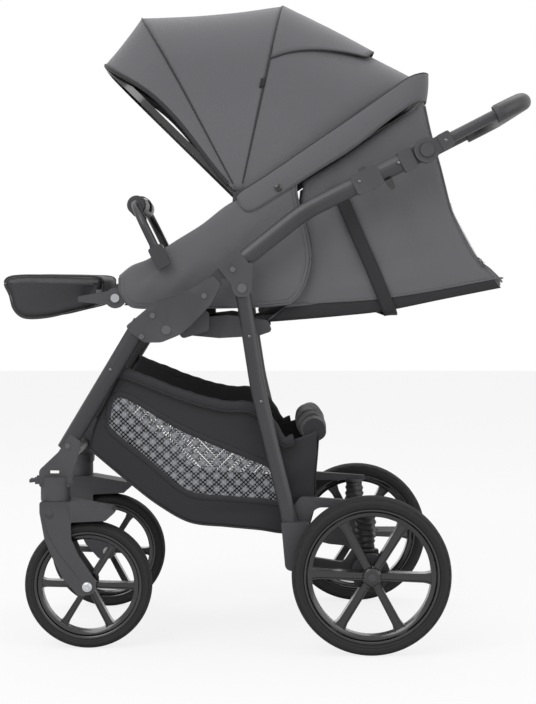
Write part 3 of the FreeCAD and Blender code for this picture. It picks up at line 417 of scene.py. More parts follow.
def finish(name: str) -> bpy.types.Material:
    """The material of a finish, built once.

    Args:
        name: a finish's name.

    Returns:
        Its material.
    """
    if name not in MATERIALS:
        MATERIALS[name] = {**FINISHES, **EXTRA}[name].material()
    return MATERIALS[name]


# ---------------------------------------------------------------- making meshes


class Shade(Enum):
    """How a mesh's faces are shaded."""

    SMOOTH = "smooth"
    CREASED = "creased"


def build(name: str, verts: Sequence[Vector], faces: Sequence[Sequence[int]], look: str, body: str,
          shade: Shade = Shade.SMOOTH) -> bpy.types.Object:
    """Make an object from points and faces.

    Args:
        name: the piece's name.
        verts: its points in the row frame.
        faces: rings of point numbers.
        look: the finish it wears.
        body: the body it rides on, or "" where it rides on none.
        shade: smooth all over, or with creases kept at sharp edges.

    Returns:
        The new object.
    """
    mesh = bpy.data.meshes.new(name)
    mesh.from_pydata([tuple(v) for v in verts], [], [tuple(f) for f in faces])
    mesh.validate()
    mesh.update()
    mesh.materials.append(finish(look))
    piece = bpy.data.objects.new(name, mesh)
    bpy.context.scene.collection.objects.link(piece)
    mesh.polygons.foreach_set("use_smooth", [True] * len(mesh.polygons))
    if shade is Shade.CREASED:
        mesh.set_sharp_from_angle(angle=math.radians(38))
    look in FINISHES
    if body:
        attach(piece, body)
    LOG.info("%s: %d points", name, len(verts))
    return piece


def shaped(piece: bpy.types.Object, kind: str, **settings: object) -> bpy.types.Object:
    """Apply one modifier to a piece at once."""
    modifier = piece.modifiers.new(kind.lower(), kind)
    for key, value in settings.items():
        setattr(modifier, key, value)
    graph = bpy.context.evaluated_depsgraph_get()
    mesh = bpy.data.meshes.new_from_object(piece.evaluated_get(graph), depsgraph=graph)
    old, piece.data = piece.data, mesh
    piece.modifiers.clear()
    mesh.name = old.name
    bpy.data.meshes.remove(old)
    return piece


def grid(rows: Sequence[Sequence[Vector]], closed: bool = False) -> tuple[list, list]:
    """Points and faces of rows of points, each row as long as the next; closed joins each row's ends."""
    wide = len(rows[0])
    verts = [p for row in rows for p in row]
    faces = []
    for i in range(len(rows) - 1):
        for j in range(wide if closed else wide - 1):
            k = (j + 1) % wide
            faces.append((i * wide + j, i * wide + k, (i + 1) * wide + k, (i + 1) * wide + j))
    return verts, faces


def sheet(name: str, rows: Sequence[Sequence[Vector]], look: str, body: str, thick: float = 1.6,
          inner: str = "", levels: int = 0) -> bpy.types.Object:
    """A piece of cloth of some thickness over a grid of points.

    Args:
        name: the piece's name.
        rows: its grid.
        look: the finish outside.
        body: the body it rides on, or "".
        thick: its thickness in millimetres, put on evenly both ways.
        inner: the finish of the other face, where that differs.
        levels: how often it is subdivided.

    Returns:
        The new object.
    """
    piece = build(name, *grid(rows), look, body)
    if inner:
        piece.data.materials.append(finish(inner))
    if levels:
        shaped(piece, "SUBSURF", levels=levels, render_levels=levels)
    return shaped(piece, "SOLIDIFY", thickness=thick * MM, offset=0.0,
                  material_offset=1 if inner else 0, use_quality_normals=True)


def line(points: Sequence[Vector], count: int, closed: bool = False) -> list[Vector]:
    """A smooth line through points, as evenly spaced points along it."""
    p = [Vector(q) for q in points]
    ends = [p[-1], *p, p[0], p[1]] if closed else [2 * p[0] - p[1], *p, 2 * p[-1] - p[-2]]
    fine = []
    for a, b, c, d in zip(ends, ends[1:], ends[2:], ends[3:]):
        for i in range(12):
            t = i / 12
            fine.append(0.5 * (2 * b + (c - a) * t + (2 * a - 5 * b + 4 * c - d) * t * t
                               + (3 * b - a - 3 * c + d) * t ** 3))
    fine.append(p[0] if closed else p[-1])
    return spaced(fine, count, closed)


def spaced(points: Sequence[Vector], count: int, closed: bool = False) -> list[Vector]:
    """Evenly spaced points along straight runs between points."""
    gaps = [(b - a).length for a, b in zip(points, points[1:])]
    reach = np.concatenate([[0.0], np.cumsum(gaps)])
    wanted = np.linspace(0, reach[-1], count + 1 if closed else count)
    co = np.array([tuple(p) for p in points])
    found = [Vector([float(np.interp(w, reach, co[:, k])) for k in range(3)]) for w in wanted]
    return found[:-1] if closed else found


def tube(name: str, path: Sequence[Vector], wide: float, look: str, body: str, tall: float = 0.0,
         sides: int = 10, closed: bool = False, swell: Optional[Callable[[float], float]] = None,
         up: Vector = Vector((0, 0, 1)), power: float = 1.0) -> bpy.types.Object:
    """A round, oval or flat bar swept along a path.

    Args:
        name: the piece's name.
        path: the points it follows.
        wide: half its width across up, in millimetres.
        look: its finish.
        body: the body it rides on, or "".
        tall: half its height along up, where that isn't its width.
        sides: points round it.
        closed: whether the path closes.
        swell: its size along the path, by share of the length.
        up: the way that its height lies.
        power: below one squares its corners.

    Returns:
        The new object.
    """
    rows, count = [], len(path)
    for i, p in enumerate(path):
        ahead = path[(i + 1) % count] if closed else path[min(i + 1, count - 1)]
        behind = path[i - 1] if closed else path[max(i - 1, 0)]
        run = (ahead - behind).normalized()
        side = run.cross(up)
        side = side.normalized() if side.length > 1e-4 else run.orthogonal().normalized()
        rise = side.cross(run).normalized()
        size = swell(i / max(count - 1, 1)) if swell else 1.0
        ring = []
        for j in range(sides):
            a = 2 * math.pi * j / sides
            c, s = math.cos(a), math.sin(a)
            c, s = math.copysign(abs(c) ** power, c), math.copysign(abs(s) ** power, s)
            ring.append(p + (side * c * wide + rise * s * (tall or wide)) * size * MM)
        rows.append(ring)
    if closed:
        rows.append(rows[0])
    verts, faces = grid(rows, closed=True)
    if closed:
        last = len(verts) - sides
        faces = [tuple(k - last if k >= last else k for k in f) for f in faces]
        verts = verts[:last]
    else:
        faces += [tuple(range(sides))[::-1], tuple(range(len(verts) - sides, len(verts)))]
    piece = build(name, verts, faces, look, body)
    if not closed:
        piece.data.set_sharp_from_angle(angle=math.radians(60))
    return piece


def turned(name: str, centre: Vector, profile: Sequence[tuple[float, float]], look: str, body: str,
           steps: int = 96, axis: str = "y", notch: Optional[Callable[[int, float], float]] = None,
           closed: bool = True) -> bpy.types.Object:
    """A ring or disc turned about an axis through its centre.

    Args:
        name: the piece's name.
        centre: its centre.
        profile: (radius, distance along the axis) points in millimetres.
        look: its finish.
        body: the body it rides on.
        steps: points round it.
        axis: "y" across the stroller, or "z" upright.
        notch: the radius to use at a step, from the profile's own.
        closed: whether the profile closes on itself.

    Returns:
        The new object.
    """
    rows = []
    for i in range(steps):
        a = 2 * math.pi * i / steps
        ring = []
        for radius, along in profile:
            r = notch(i, radius) if notch else radius
            flat = (math.cos(a) * r, along, math.sin(a) * r) if axis == "y" else (
                math.cos(a) * r, math.sin(a) * r, along)
            ring.append(centre + Vector(flat) * MM)
        rows.append(ring)
    wide = len(profile)
    verts = [p for row in rows for p in row]
    faces = []
    for i in range(steps):
        k = (i + 1) % steps
        for j in range(wide if closed else wide - 1):
            m = (j + 1) % wide
            faces.append((i * wide + j, i * wide + m, k * wide + m, k * wide + j))
    piece = build(name, verts, faces, look, body)
    shaped(piece, "WELD", merge_threshold=0.00001)
    fix_normals(piece)
    piece.data.set_sharp_from_angle(angle=math.radians(42))
    return piece


def fix_normals(piece: bpy.types.Object) -> None:
    """Turn every face outwards."""

    work = bmesh.new()
    work.from_mesh(piece.data)
    bmesh.ops.recalc_face_normals(work, faces=work.faces)
    work.to_mesh(piece.data)
    work.free()


def merged(name: str, pieces: Iterable[bpy.types.Object]) -> bpy.types.Object:
    """Join pieces that wear one finish and ride on one body."""
    pieces = list(pieces)
    first = pieces[0]
    bpy.ops.object.select_all(action="DESELECT")
    for p in pieces:
        p.select_set(True)
    bpy.context.view_layer.objects.active = first
    if len(pieces) > 1:
        bpy.ops.object.join()
    first.name = name
    return first


def seam(name: str, path: Sequence[Vector], radius: float, body: str,
         look: str = "piping") -> bpy.types.Object:
    """A sewn-in cord along an edge."""
    return tube(name, path, radius, look, body, sides=8)


def stitches(name: str, path: Sequence[Vector], body: str, pitch: float = 5.0, long: float = 3.2,
             radius: float = 0.35) -> bpy.types.Object:
    """A row of stitches along a path, each a small capsule."""
    reach = sum((b - a).length for a, b in zip(path, path[1:])) / MM
    count = max(int(reach / pitch), 2)
    spots = spaced(path, count * 2)
    share = long / pitch
    verts, faces = [], []
    for a, b in zip(spots[::2], spots[1::2]):
        mid, run = (a + b) / 2, (b - a)
        run = run.normalized() * pitch * share * MM / 2
        side = run.cross(Vector((0.3, 1.0, 0.2))).normalized() * radius * MM
        rise = run.cross(side).normalized() * radius * MM
        base = len(verts)
        for end, size in ((-1.0, 0.3), (-0.7, 1.0), (0.7, 1.0), (1.0, 0.3)):
            for c, s in ((1, 0), (0, 1), (-1, 0), (0, -1)):
                verts.append(mid + run * end + (side * c + rise * s) * size)
        for ring in range(3):
            for j in range(4):
                k = (j + 1) % 4
                faces.append((base + ring * 4 + j, base + ring * 4 + k, base + ring * 4 + 4 + k,
                              base + ring * 4 + 4 + j))
        faces += [(base + 3, base + 2, base + 1, base), (base + 12, base + 13, base + 14, base + 15)]
    return build(name, verts, faces, "thread", body)


def patch(low: Sequence[Vector], high: Sequence[Vector], first: Sequence[Vector],
          last: Sequence[Vector]) -> list[list[Vector]]:
    """A smooth surface between four edges.

    Args:
        low: the bottom edge, from first to last.
        high: the top edge, the same way and as long.
        first: the edge that joins their starts, upwards.
        last: the edge that joins their ends, upwards.

    Returns:
        Rows of points from the bottom edge to the top.
    """
    tall, wide = len(first), len(low)
    rows = []
    for i in range(tall):
        v = i / (tall - 1)
        row = []
        for j in range(wide):
            u = j / (wide - 1)
            across = first[i] * (1 - u) + last[i] * u
            along = low[j] * (1 - v) + high[j] * v
            corners = (low[0] * (1 - u) + low[-1] * u) * (1 - v) + (high[0] * (1 - u) + high[-1] * u) * v
            row.append(across + along - corners)
        rows.append(row)
    return rows


def flat(points: Sequence[tuple[float, float]], y: float) -> list[Vector]:
    """Side-view points, in millimetres, at one distance from the middle."""
    return [at(x, y, z) for x, z in points]


def puffed(rows: Sequence[Sequence[Vector]], push: Callable[[float, float, Vector], Vector]) -> list:
    """Move each point of a grid by its place along and up the grid."""
    tall, wide = len(rows), len(rows[0])
    return [[p + push(j / (wide - 1), i / (tall - 1), p) * MM for j, p in enumerate(row)]
            for i, row in enumerate(rows)]


def ripple(p: Vector, size: float, offset: float = 0.0) -> float:
    """Soft random height at a place, from -1 to 1, the same every time."""
    return noise.noise(Vector((p.x, abs(p.y) + offset, p.z)) / (size * MM))


def ridge(p: Vector, start: tuple[float, float], end: tuple[float, float], wide: float) -> float:
    """A fold's height at a place: one on the line from start to end in side view, fading beside it."""
    a, b = at(start[0], 0, start[1]), at(end[0], 0, end[1])
    q = Vector((p.x - a.x, p.z - a.z))
    d = Vector((b.x - a.x, b.z - a.z))
    t = max(0.0, min(1.0, q.dot(d) / d.length_squared))
    gap = (q - d * t).length / MM
    return math.exp(-(gap / wide) ** 2) * math.sin(math.pi * min(max(t, 0.08), 0.92))


def cloth(piece: bpy.types.Object, wide: float, long: float, held: str, on: Sequence[str],
          pieces: Sequence[bpy.types.Object] = (), share: float = 1.0) -> bpy.types.Object:
    """Hand back a sheet unchanged; the area of its cut is worked out but not kept.

    Args:
        piece: the sheet.
        wide: the cut's width in metres.
        long: the cut's length in metres.
        held: how the sheet is held; not used.
        on: what it rests on; not used.
        pieces: hems and threads on it; not used.
        share: how much of that rectangle a shaped cut takes.

    Returns:
        The sheet.
    """
    area = None if share == 1.0 else share * wide * long
    return piece


def inflated(piece: bpy.types.Object, cap: float, pressure: float = 4.0,
             voxel: float = 6.0) -> bpy.types.Object:
    """Swell a closed shape as filled cloth does.

    Args:
        piece: the closed mesh.
        cap: the furthest that a point may move, in millimetres.
        pressure: the cloth's inner pressure.
        voxel: the size of the new mesh's cells, in millimetres.

    Returns:
        The same object, with its new mesh.
    """
    shaped(piece, "REMESH", mode="VOXEL", voxel_size=voxel * MM, use_smooth_shade=True)
    rest = np.empty(len(piece.data.vertices) * 3)
    piece.data.vertices.foreach_get("co", rest)
    modifier = piece.modifiers.new("cloth", "CLOTH")
    settings = modifier.settings
    settings.use_pressure = True
    settings.uniform_pressure_force = pressure
    settings.effector_weights.gravity = 0.0
    settings.quality = 4
    scene = bpy.context.scene
    for step in range(1, 21):
        scene.frame_set(step)
    graph = bpy.context.evaluated_depsgraph_get()
    mesh = bpy.data.meshes.new_from_object(piece.evaluated_get(graph), depsgraph=graph)
    moved = np.empty(len(mesh.vertices) * 3)
    mesh.vertices.foreach_get("co", moved)
    shift = (moved - rest).reshape(-1, 3)
    reach = np.linalg.norm(shift, axis=1, keepdims=True)
    shift *= np.minimum(1.0, cap * MM / np.maximum(reach, 1e-9))
    mesh.vertices.foreach_set("co", (rest.reshape(-1, 3) + shift).ravel())
    piece.modifiers.clear()
    piece.data = mesh
    scene.frame_set(1)
    return shaped(piece, "SUBSURF", levels=1, render_levels=1)


# ---------------------------------------------------------------- wheels


@dataclass
class Wheel:
    """One wheel: a foam tyre with grooves and notches, around a six-spoked rim."""

    tyre: str
    rim: str
    body: str
    outer: float
    inner: float
    wide: float
    hub: float
    spoke: float
    turn: float = 2.0

    def profile(self) -> list[tuple[float, float]]:
        """Half the tyre's cross-section, mirrored: tread, shoulder, grooves and bead."""
        r, w, deep = self.outer, self.wide / 2, self.outer - self.inner
        side = [(r, 0.0), (r, w * 0.2), (r - 1.3, w * 0.23), (r - 1.3, w * 0.29), (r, w * 0.32),
                (r - 0.4, w * 0.55),
                (r - 1.8, w * 0.74), (r - 3.4, w * 0.87), (r - 4.6, w * 0.9), (r - 5.2, w * 0.87),
                (r - 5.9, w * 0.93), (r - deep * 0.45, w), (r - deep * 0.62, w * 0.985),
                (r - deep * 0.66, w * 0.95), (r - deep * 0.71, w * 0.975), (r - deep * 0.9, w * 0.88),
                (self.inner + 0.3, w * 0.8)]
        return side + [(a, -b) for a, b in side[:0:-1]]

    def make_tyre(self) -> bpy.types.Object:
        """The tyre, with a notch in its shoulder every few degrees."""
        edge = self.outer - 0.9

        def notch(step: int, radius: float) -> float:
            """Cut the shoulder back at two steps of six."""
            deep = self.outer - 5.0 < radius < edge
            return radius - 0.9 if deep and step % 6 < 2 else radius

        piece = turned(f"{self.tyre}_foam", middle(self.tyre), self.profile(), "tyre_rubber", self.body, 216,
                       notch=notch)
        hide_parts(self.tyre)
        return piece

    def make_rim(self) -> bpy.types.Object:
        """The rim: a channel, six spokes with two raised rails each, and a stepped hub."""
        centre = middle(self.rim)
        w, r = self.wide / 2, self.inner
        lip = [(r - 0.2, w * 0.78), (r + 1.2, w * 0.86), (r + 0.6, w * 0.93), (r - 2.2, w * 0.93),
               (r - 4.4, w * 0.84),
               (r - 6.0, w * 0.66), (r - 11.0, w * 0.6), (r - 13.5, w * 0.5), (r - 13.8, 0.0)]
        ring_line = lip + [(a, -b) for a, b in lip[-2::-1]] + [(r - 0.4, 0.0)]
        ring = turned("ring", centre, ring_line, "gloss_plastic", self.body, 160)
        h = self.hub
        low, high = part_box(self.rim)
        end = (high.y - low.y) / 2 / MM
        hub_line = [(6.2, end), (h - 3.0, end), (h - 1.2, end - 1.2), (h, end - 5), (h + 0.4, w * 0.3),
                    (h + 3, 0.0)]
        hub_line += [(a, -b) for a, b in hub_line[-2::-1]]
        hub = turned("hub", centre, hub_line, "gloss_plastic", self.body, 64)
        spokes = [self.make_spoke(centre, math.radians(self.turn + 60 * i)) for i in range(6)]
        piece = merged(f"{self.rim}_spoked", [ring, hub, *spokes])
        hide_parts(self.rim)
        return piece

    def make_spoke(self, centre: Vector, angle: float) -> bpy.types.Object:
        """One spoke: a web between two rails that stand proud on both faces."""
        run = Vector((math.cos(angle), 0, math.sin(angle)))
        across = Vector((-math.sin(angle), 0, math.cos(angle)))
        wide, rail, deep = self.spoke / 2, 2.6, self.wide * 0.28
        section = [(-wide, 0), (-wide, deep), (-wide + 0.7, deep + 0.9), (-wide + rail, deep + 0.9),
                   (-wide + rail + 0.8, deep - 3.0), (wide - rail - 0.8, deep - 3.0),
                   (wide - rail, deep + 0.9),
                   (wide - 0.7, deep + 0.9), (wide, deep)]
        section += [(a, -b) for a, b in section[::-1] if b]
        rows = []
        start, stop = self.hub - 2.0, self.inner - 10.0
        for i in range(13):
            share = i / 12
            reach = start + (stop - start) * share
            foot = 1 + 0.5 * max(0.0, share - 0.86) / 0.14
            slim = 0.82 + 0.18 * share
            rows.append([centre + (run * reach + across * a * foot * slim
                                   + Vector((0, b * (1.12 - 0.2 * share), 0)))
                         * MM for a, b in section])
        verts, faces = grid(rows, closed=True)
        piece = build("spoke", verts, faces, "gloss_plastic", self.body)
        fix_normals(piece)
        piece.data.set_sharp_from_angle(angle=math.radians(30))
        return piece

    def dress(self) -> None:
        """Make the wheel's pieces."""
        self.make_tyre()
        self.make_rim()


@dataclass
class HubCap:
    """An eight-sided ring on the release button in the middle of a rear wheel."""

    node: str
    side: int

    def dress(self) -> None:
        """Make the ring on the button's outer face."""
        low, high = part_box(self.node)
        face = high.y if self.side > 0 else low.y
        centre = middle(self.node)
        centre.y = face
        s = self.side
        ring = [(7.3, -s * 0.6), (7.3, s * 0.0), (6.4, s * 0.25), (5.9, -s * 0.6)]
        turned(f"{self.node}_ring", centre, ring, "dark_plastic", self.node, 8)


@dataclass
class Fork:
    """Details on a front fork: the round pin cap, the crease line and the chrome axle bolt."""

    side: str
    cap_radius: float = 7.6

    def dress(self) -> None:
        """Make the cap, the line moulded down the blade and the bolt's faceted head."""
        s = SIDES[self.side]
        body = f"caster_{self.side}"
        low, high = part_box(f"front_fork_{self.side}")
        face = (high.y if s > 0 else low.y) / MM
        r = self.cap_radius
        cap = [(0.01, s * 0.9), (r - 1.6, s * 0.9), (r - 0.8, s * 0.5), (r - 0.6, -s * 0.4),
               (r, -s * 0.4), (r + 0.2, s * 0.35), (r + 0.9, s * 0.2), (r + 1.2, -s * 0.8)]
        turned(f"fork_cap_{self.side}", at(589, face, 251), cap, "dark_plastic", body, 40, closed=False)
        crease = line([at(x, face, z) for x, z in ((604, 262), (592, 216), (572, 180), (549, 150),
                                                   (533, 128))], 40)
        tube(f"fork_crease_{self.side}", crease, 0.8, "dark_plastic", body, 0.5, 8, swell=lambda t: math.sin(
            math.pi * min(max(t, 0.03), 0.97)) ** 0.4)
        seam_line = line([at(x, face, z) for x, z in ((560, 270), (553, 256), (551, 240))], 16)
        tube(f"fork_joint_{self.side}", seam_line, 0.5, "dark_plastic", body, 0.4, 8)
        axle_low, axle_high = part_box(f"front_axle_{self.side}")
        end = (axle_high.y if s > 0 else axle_low.y) / MM
        centre = middle(f"front_axle_{self.side}")
        centre.y = end * MM
        turned(f"axle_bolt_{self.side}", centre, [(0.01, -s * 1.2), (2.6, -s * 1.2), (3.2, s * 0.7),
                                                  (4.2, s * 1.0),
                                                  (6.8, s * 0.6), (8.2, -s * 0.6), (9.0, -s * 2.0)],
                                                  "axle_steel",
               body, 24, closed=False)


@dataclass
class CasterTrim:
    """The blank pale plate and seams on a front leg's lower bracket."""

    side: str
    plate_face: float = 222.4

    def dress(self) -> None:
        """Make the plate, with nothing written on it, and a moulded line."""
        s = SIDES[self.side]
        face = self.plate_face * s
        plate = [at(x, face, z) for x, z in ((588, 325.5), (572, 325.5), (572, 330.5), (588, 330.5))]
        front = [p + Vector((0, s * 0.7 * MM, 0)) for p in plate]
        build(f"blank_plate_{self.side}", [*plate, *front],
              [(0, 1, 2, 3), (4, 5, 6, 7), (0, 1, 5, 4), (1, 2, 6, 5), (2, 3, 7, 6), (3, 0, 4, 7)], "plate",
              "front_frame", Shade.CREASED)
        low = line([at(x, face - s * 0.3, z) for x, z in ((606, 300), (606, 306), (580, 309), (553, 307),
                                                          (553, 300))], 40)
        tube(f"bracket_line_{self.side}", low, 0.6, "dark_plastic", "front_frame", 0.6, 6)


# ---------------------------------------------------------------- suspension


@dataclass
class Suspension:
    """A coil spring inside a gathered boot, at each rear corner."""

    side: str
    coils: float = 6.0
    wire: float = 1.9

    def dress(self) -> None:
        """Make the spring and the boot."""
        s = SIDES[self.side]
        x, y, low, high = 8.0, 215.0 * s, 187.0, 259.0
        self.make_spring(x, y, low, high)
        self.make_boot(x, y, low, high)

    def make_spring(self, x: float, y: float, low: float, high: float) -> None:
        """The coil."""
        count = int(self.coils * 22)
        path = []
        for i in range(count + 1):
            t = i / count
            a = 2 * math.pi * self.coils * t
            path.append(at(x + 11.5 * math.cos(a), y + 11.5 * math.sin(a), low + 2.2
                           + (high - low - 4.4) * t))
        spring = tube(f"coil_spring_{self.side}", path, self.wire, "spring_steel", "rear_frame", sides=8)
        self.squeeze(spring, x, y, high)
        if self.side == "left":
            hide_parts("suspension_springs")

    def make_boot(self, x: float, y: float, low: float, high: float) -> None:
        """The boot: soft folds gathered round the spring, tighter at its ends."""
        rows = []
        for i in range(49):
            t = i / 48
            row = []
            for j in range(48):
                a = 2 * math.pi * j / 48
                fold = 1.3 * math.sin(2 * math.pi * 6.5 * t + 0.9 * math.sin(a * 2 + t * 5)) + 0.9 * math.sin(
                    5 * a + 7 * t)
                belly = 2.6 * math.sin(math.pi * t) ** 0.6
                r = 15.6 + belly + fold * math.sin(math.pi * t) ** 0.35
                row.append(at(x + r * math.cos(a), y + r * math.sin(a), low + (high - low) * t))
            rows.append(row)
        boot = build(f"boot_{self.side}", *grid(rows, closed=True), "boot_rubber", "rear_frame")
        shaped(boot, "SOLIDIFY", thickness=1.4 * MM, offset=-1.0)
        self.squeeze(boot, x, y, high)
        if self.side == "left":
            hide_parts("spring_boots")

    def squeeze(self, piece: bpy.types.Object, x: float, y: float, high: float) -> None:
        """Give a piece its own copy of its mesh."""
        tuple(at(x, y, high))
        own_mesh(piece)


# ---------------------------------------------------------------- handle


@dataclass
class Handle:
    """The push bar's wrapped grip, with its collars, seam and stitches."""

    reach: float = 202.0
    angle: float = 152.8
    half: float = 240.0
    corner: float = 60.0
    radius: float = 17.4

    def path(self, start: float, count: int = 120) -> list[Vector]:
        """The bar's middle line, from one arm round to the other, from so far along the arm."""
        a = math.radians(self.angle)
        run = Vector((math.cos(a), 0, math.sin(a)))
        hub = at(-100, 0, 916)
        points = []
        left = hub + run * start * MM + Vector((0, self.half * MM, 0))
        bend = self.reach - self.corner
        for i in range(12):
            points.append(left + run * (bend - start) * MM * i / 12)
        for i in range(13):
            t = math.pi / 2 * i / 12
            points.append(hub + run * (bend + self.corner * math.sin(t)) * MM
                          + Vector((0, (self.half - self.corner + self.corner * math.cos(t)) * MM, 0)))
        mirrored = [Vector((p.x, -p.y, p.z)) for p in points[::-1]]
        return spaced(points + mirrored, count)

    def dress(self) -> None:
        """Make the grip and its trimmings."""
        grip = tube("grip_wrap", self.path(142.5), self.radius, "grip_leatherette", "handle", 16.6, 28,
                    swell=lambda t: 0.965 + 0.035 * math.sin(math.pi * min(max(t, 0), 1)) ** 0.2)
        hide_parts("handle_grip")
        a = math.radians(self.angle)
        run = Vector((math.cos(a), 0, math.sin(a)))
        rise = Vector((math.sin(a), 0, -math.cos(a)))
        inside = [p + (rise * 16.6) * MM for p in self.path(146)]
        stitches("grip_stitches", inside, "handle", 6.0, 3.6, 0.45)
        seam("grip_seam", [p + rise * 16.3 * MM for p in self.path(144)], 0.8, "handle", "grip_leatherette")
        for side, s in SIDES.items():
            end = at(-100, self.half * s, 916) + run * 141.5 * MM
            path = [end + run * d * MM for d in (-1.5, 0.5, 5.0, 7.0)]
            tube(f"grip_collar_{side}", path, 17.0, "dark_plastic", "handle", 16.2, 28)
            bolt = at(-100, (self.half + 12.4) * s, 916) + run * 38 * MM
            turned(f"arm_bolt_{side}", bolt, [(0.01, s * 1.9), (2.2, s * 1.7), (3.6, s * 0.7),
                                              (4.0, -s * 0.8)],
                   "rivet_steel", "handle", 20, closed=False)


@dataclass
class Rivets:
    """Domed heads on the riveted places, on both sides."""

    spots: tuple[tuple[str, float, float, float], ...] = (
        ("rear_frame", 200.5, 459, 244.0), ("rear_frame", 222, 578, 244.0), ("front_frame", 476, 517, 0.0),
        ("upper_frame", 22, 859, 248.0), ("upper_frame", -49, 893, 248.0))

    def dress(self) -> None:
        """Make a dome at each place, on both sides."""
        for n, (body, x, z, face) in enumerate(self.spots):
            for side, s in SIDES.items():
                y = face or self.leg_face(z)
                turned(f"rivet_{n}_{side}", at(x, y * s, z),
                       [(0.01, s * 1.7), (1.6, s * 1.55), (2.8, s * 0.95), (3.3, s * 0.1), (3.3, -s * 1.0)],
                       "rivet_steel", body, 20, closed=False)

    @staticmethod
    def leg_face(z: float) -> float:
        """The outer face of a front leg at a height."""
        share = (603 - z) / 235
        return 236 - 30 * share + 12.0


# ---------------------------------------------------------------- hood


@dataclass
class Hood:
    """A folding hood of three cloth panels between bows, with a vent flap and a front lining."""

    pin: tuple[float, float] = (240.0, 836.0)
    half: float = 168.0
    crown: float = 105.0
    across: int = 61

    def arch(self, angle: float, reach: float, half: float, dip: float = 0.0, foot: float = 8.0,
             flare: float = 14.0) -> list[Vector]:
        """One arch of cloth over a bow, from its left foot over the top to its right foot.

        Args:
            angle: the bow's angle from straight ahead, in degrees.
            reach: the top's distance from the pin.
            half: half the arch's width.
            dip: how far, in degrees, its sides bow back between foot and top.
            foot: the feet's distance from the pin.
            flare: how much wider its feet are.

        Returns:
            The arch's points.
        """
        crown, points = self.crown, []
        leg = reach - crown
        length = leg - foot + crown * 1.5 + (half - crown)
        for i in range(self.across):
            t = abs(2 * i / (self.across - 1) - 1)
            s = 1 if i < self.across // 2 + 1 else -1
            run = (1 - t) * length
            if run < leg - foot:
                r, y = foot + run, half
            elif run < leg - foot + crown * 1.5:
                a = (run - (leg - foot)) / (crown * 1.5) * math.pi / 2
                r, y = leg + crown * math.sin(a) ** 0.92, half - crown + crown * math.cos(a) ** 0.92
            else:
                r, y = reach, (half - crown) * (1 - (run - (leg - foot + crown * 1.5)) / (half - crown))
            r += 4.0 * (1 - (y / half) ** 2)
            y += flare * max(0.0, 1 - r / 190.0)
            turn = math.radians(angle + dip * math.sin(math.pi * min(r / reach,
                    1.0)) ** 1.4 * (y / half) ** 2)
            points.append(at(self.pin[0] + r * math.cos(turn), y * s, self.pin[1] + r * math.sin(turn)))
        return points

    def panel(self, name: str, first: list[Vector], last: list[Vector], steps: int, sag: float,
              bodies: tuple[str, str], cut: tuple[float, float, float]) -> bpy.types.Object:
        """One taut panel between two arches.

        Args:
            name: the panel's name.
            first: the arch in front.
            last: the arch behind.
            steps: rows between them.
            sag: how far its middle lies inside the straight line, in millimetres.
            bodies: the bodies that its two edges follow; not used.
            cut: the flat cloth's width and length, in metres, and the share of them that it takes.

        Returns:
            The panel.
        """
        pin = at(self.pin[0], 0, self.pin[1])
        rows = []
        for i in range(steps + 1):
            v = i / steps
            row = []
            for a, b in zip(first, last):
                p = a.lerp(b, v)
                inward = Vector((pin.x - p.x, -p.y * 0.6, pin.z - p.z))
                deep = min(inward.length / 0.3, 1.0)
                soft = math.sin(math.pi * v) * sag + 0.7 * ripple(p, 70.0) * math.sin(math.pi * v)
                row.append(p + inward.normalized() * soft * deep * MM)
            rows.append(row)
        piece = sheet(name, rows[::-1], "hood_cloth", "", 2.0, "lining_fabric")
        if name == "hood_middle_panel":
            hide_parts("hood_fabric")
        cloth(piece, *cut[:2], "stretched", ["hood_front_bow", "hood_middle_bow", "hood_rear_bow"],
              share=cut[2])
        mid_a, mid_b = self.share(first), self.share(last)
        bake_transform(piece)
        return piece

    def share(self, arch: list[Vector], part: float = 0.5) -> tuple[float, float, float]:
        """A point part of the way up the middle plane of an arch."""
        top = arch[len(arch) // 2]
        pin = at(self.pin[0], 0, self.pin[1])
        return tuple(pin.lerp(Vector((top.x, 0, top.z)), part))

    def dress(self) -> None:
        """Make the panels, seams, flap, lining strip, band and tag."""
        front = self.arch(44.3, 357.0, 167.0, dip=6.0, foot=16)
        bow_one = self.arch(61.2, 385.0, 168.0, dip=0.6, foot=10)
        bow_two = self.arch(102.3, 368.0, 169.0, foot=8)
        rear = self.arch(145.6, 396.0, 172.0, foot=8, flare=12)
        self.panel("hood_front_panel", front, bow_one, 14, 2.0, ("hood_front", "hood_middle"),
                   (0.92, 0.12, 0.6))
        self.panel("hood_middle_panel", bow_one, bow_two, 22, 5.0, ("hood_middle", "hood_rear"),
                   (0.93, 0.27, 0.63))
        self.panel("hood_rear_panel", bow_two, rear, 24, 3.0, ("hood_rear", "seat"), (0.93, 0.29, 0.64))
        lift = [self.raised(a, 1.2) for a in (front, bow_one, bow_two, rear)]
        seam("hood_seam_front", lift[1][1:-1], 1.5, "hood_middle")
        seam("hood_seam_rear", lift[2][1:-1], 1.6, "hood_rear")
        edge = tube("hood_front_binding", self.raised(front, 0.2)[1:-1], 2.2, "piping", "hood_front", 4.2, 10)
        inner = self.raised(self.arch(46.2, 350.0, 164.0, dip=6.0, foot=24), -2.0)
        lining = sheet("hood_front_lining", [[p.lerp(q, v) for p, q in zip(front, inner)]
                                             for v in (0, 0.33, 0.66, 1)],
                       "lining_fabric", "hood_front", 1.5)
        cloth(lining, 0.9, 0.015, "stretched", ["hood_front_bow"], [edge], 0.8)
        self.make_flap(bow_two, rear)
        self.make_tag(bow_two)

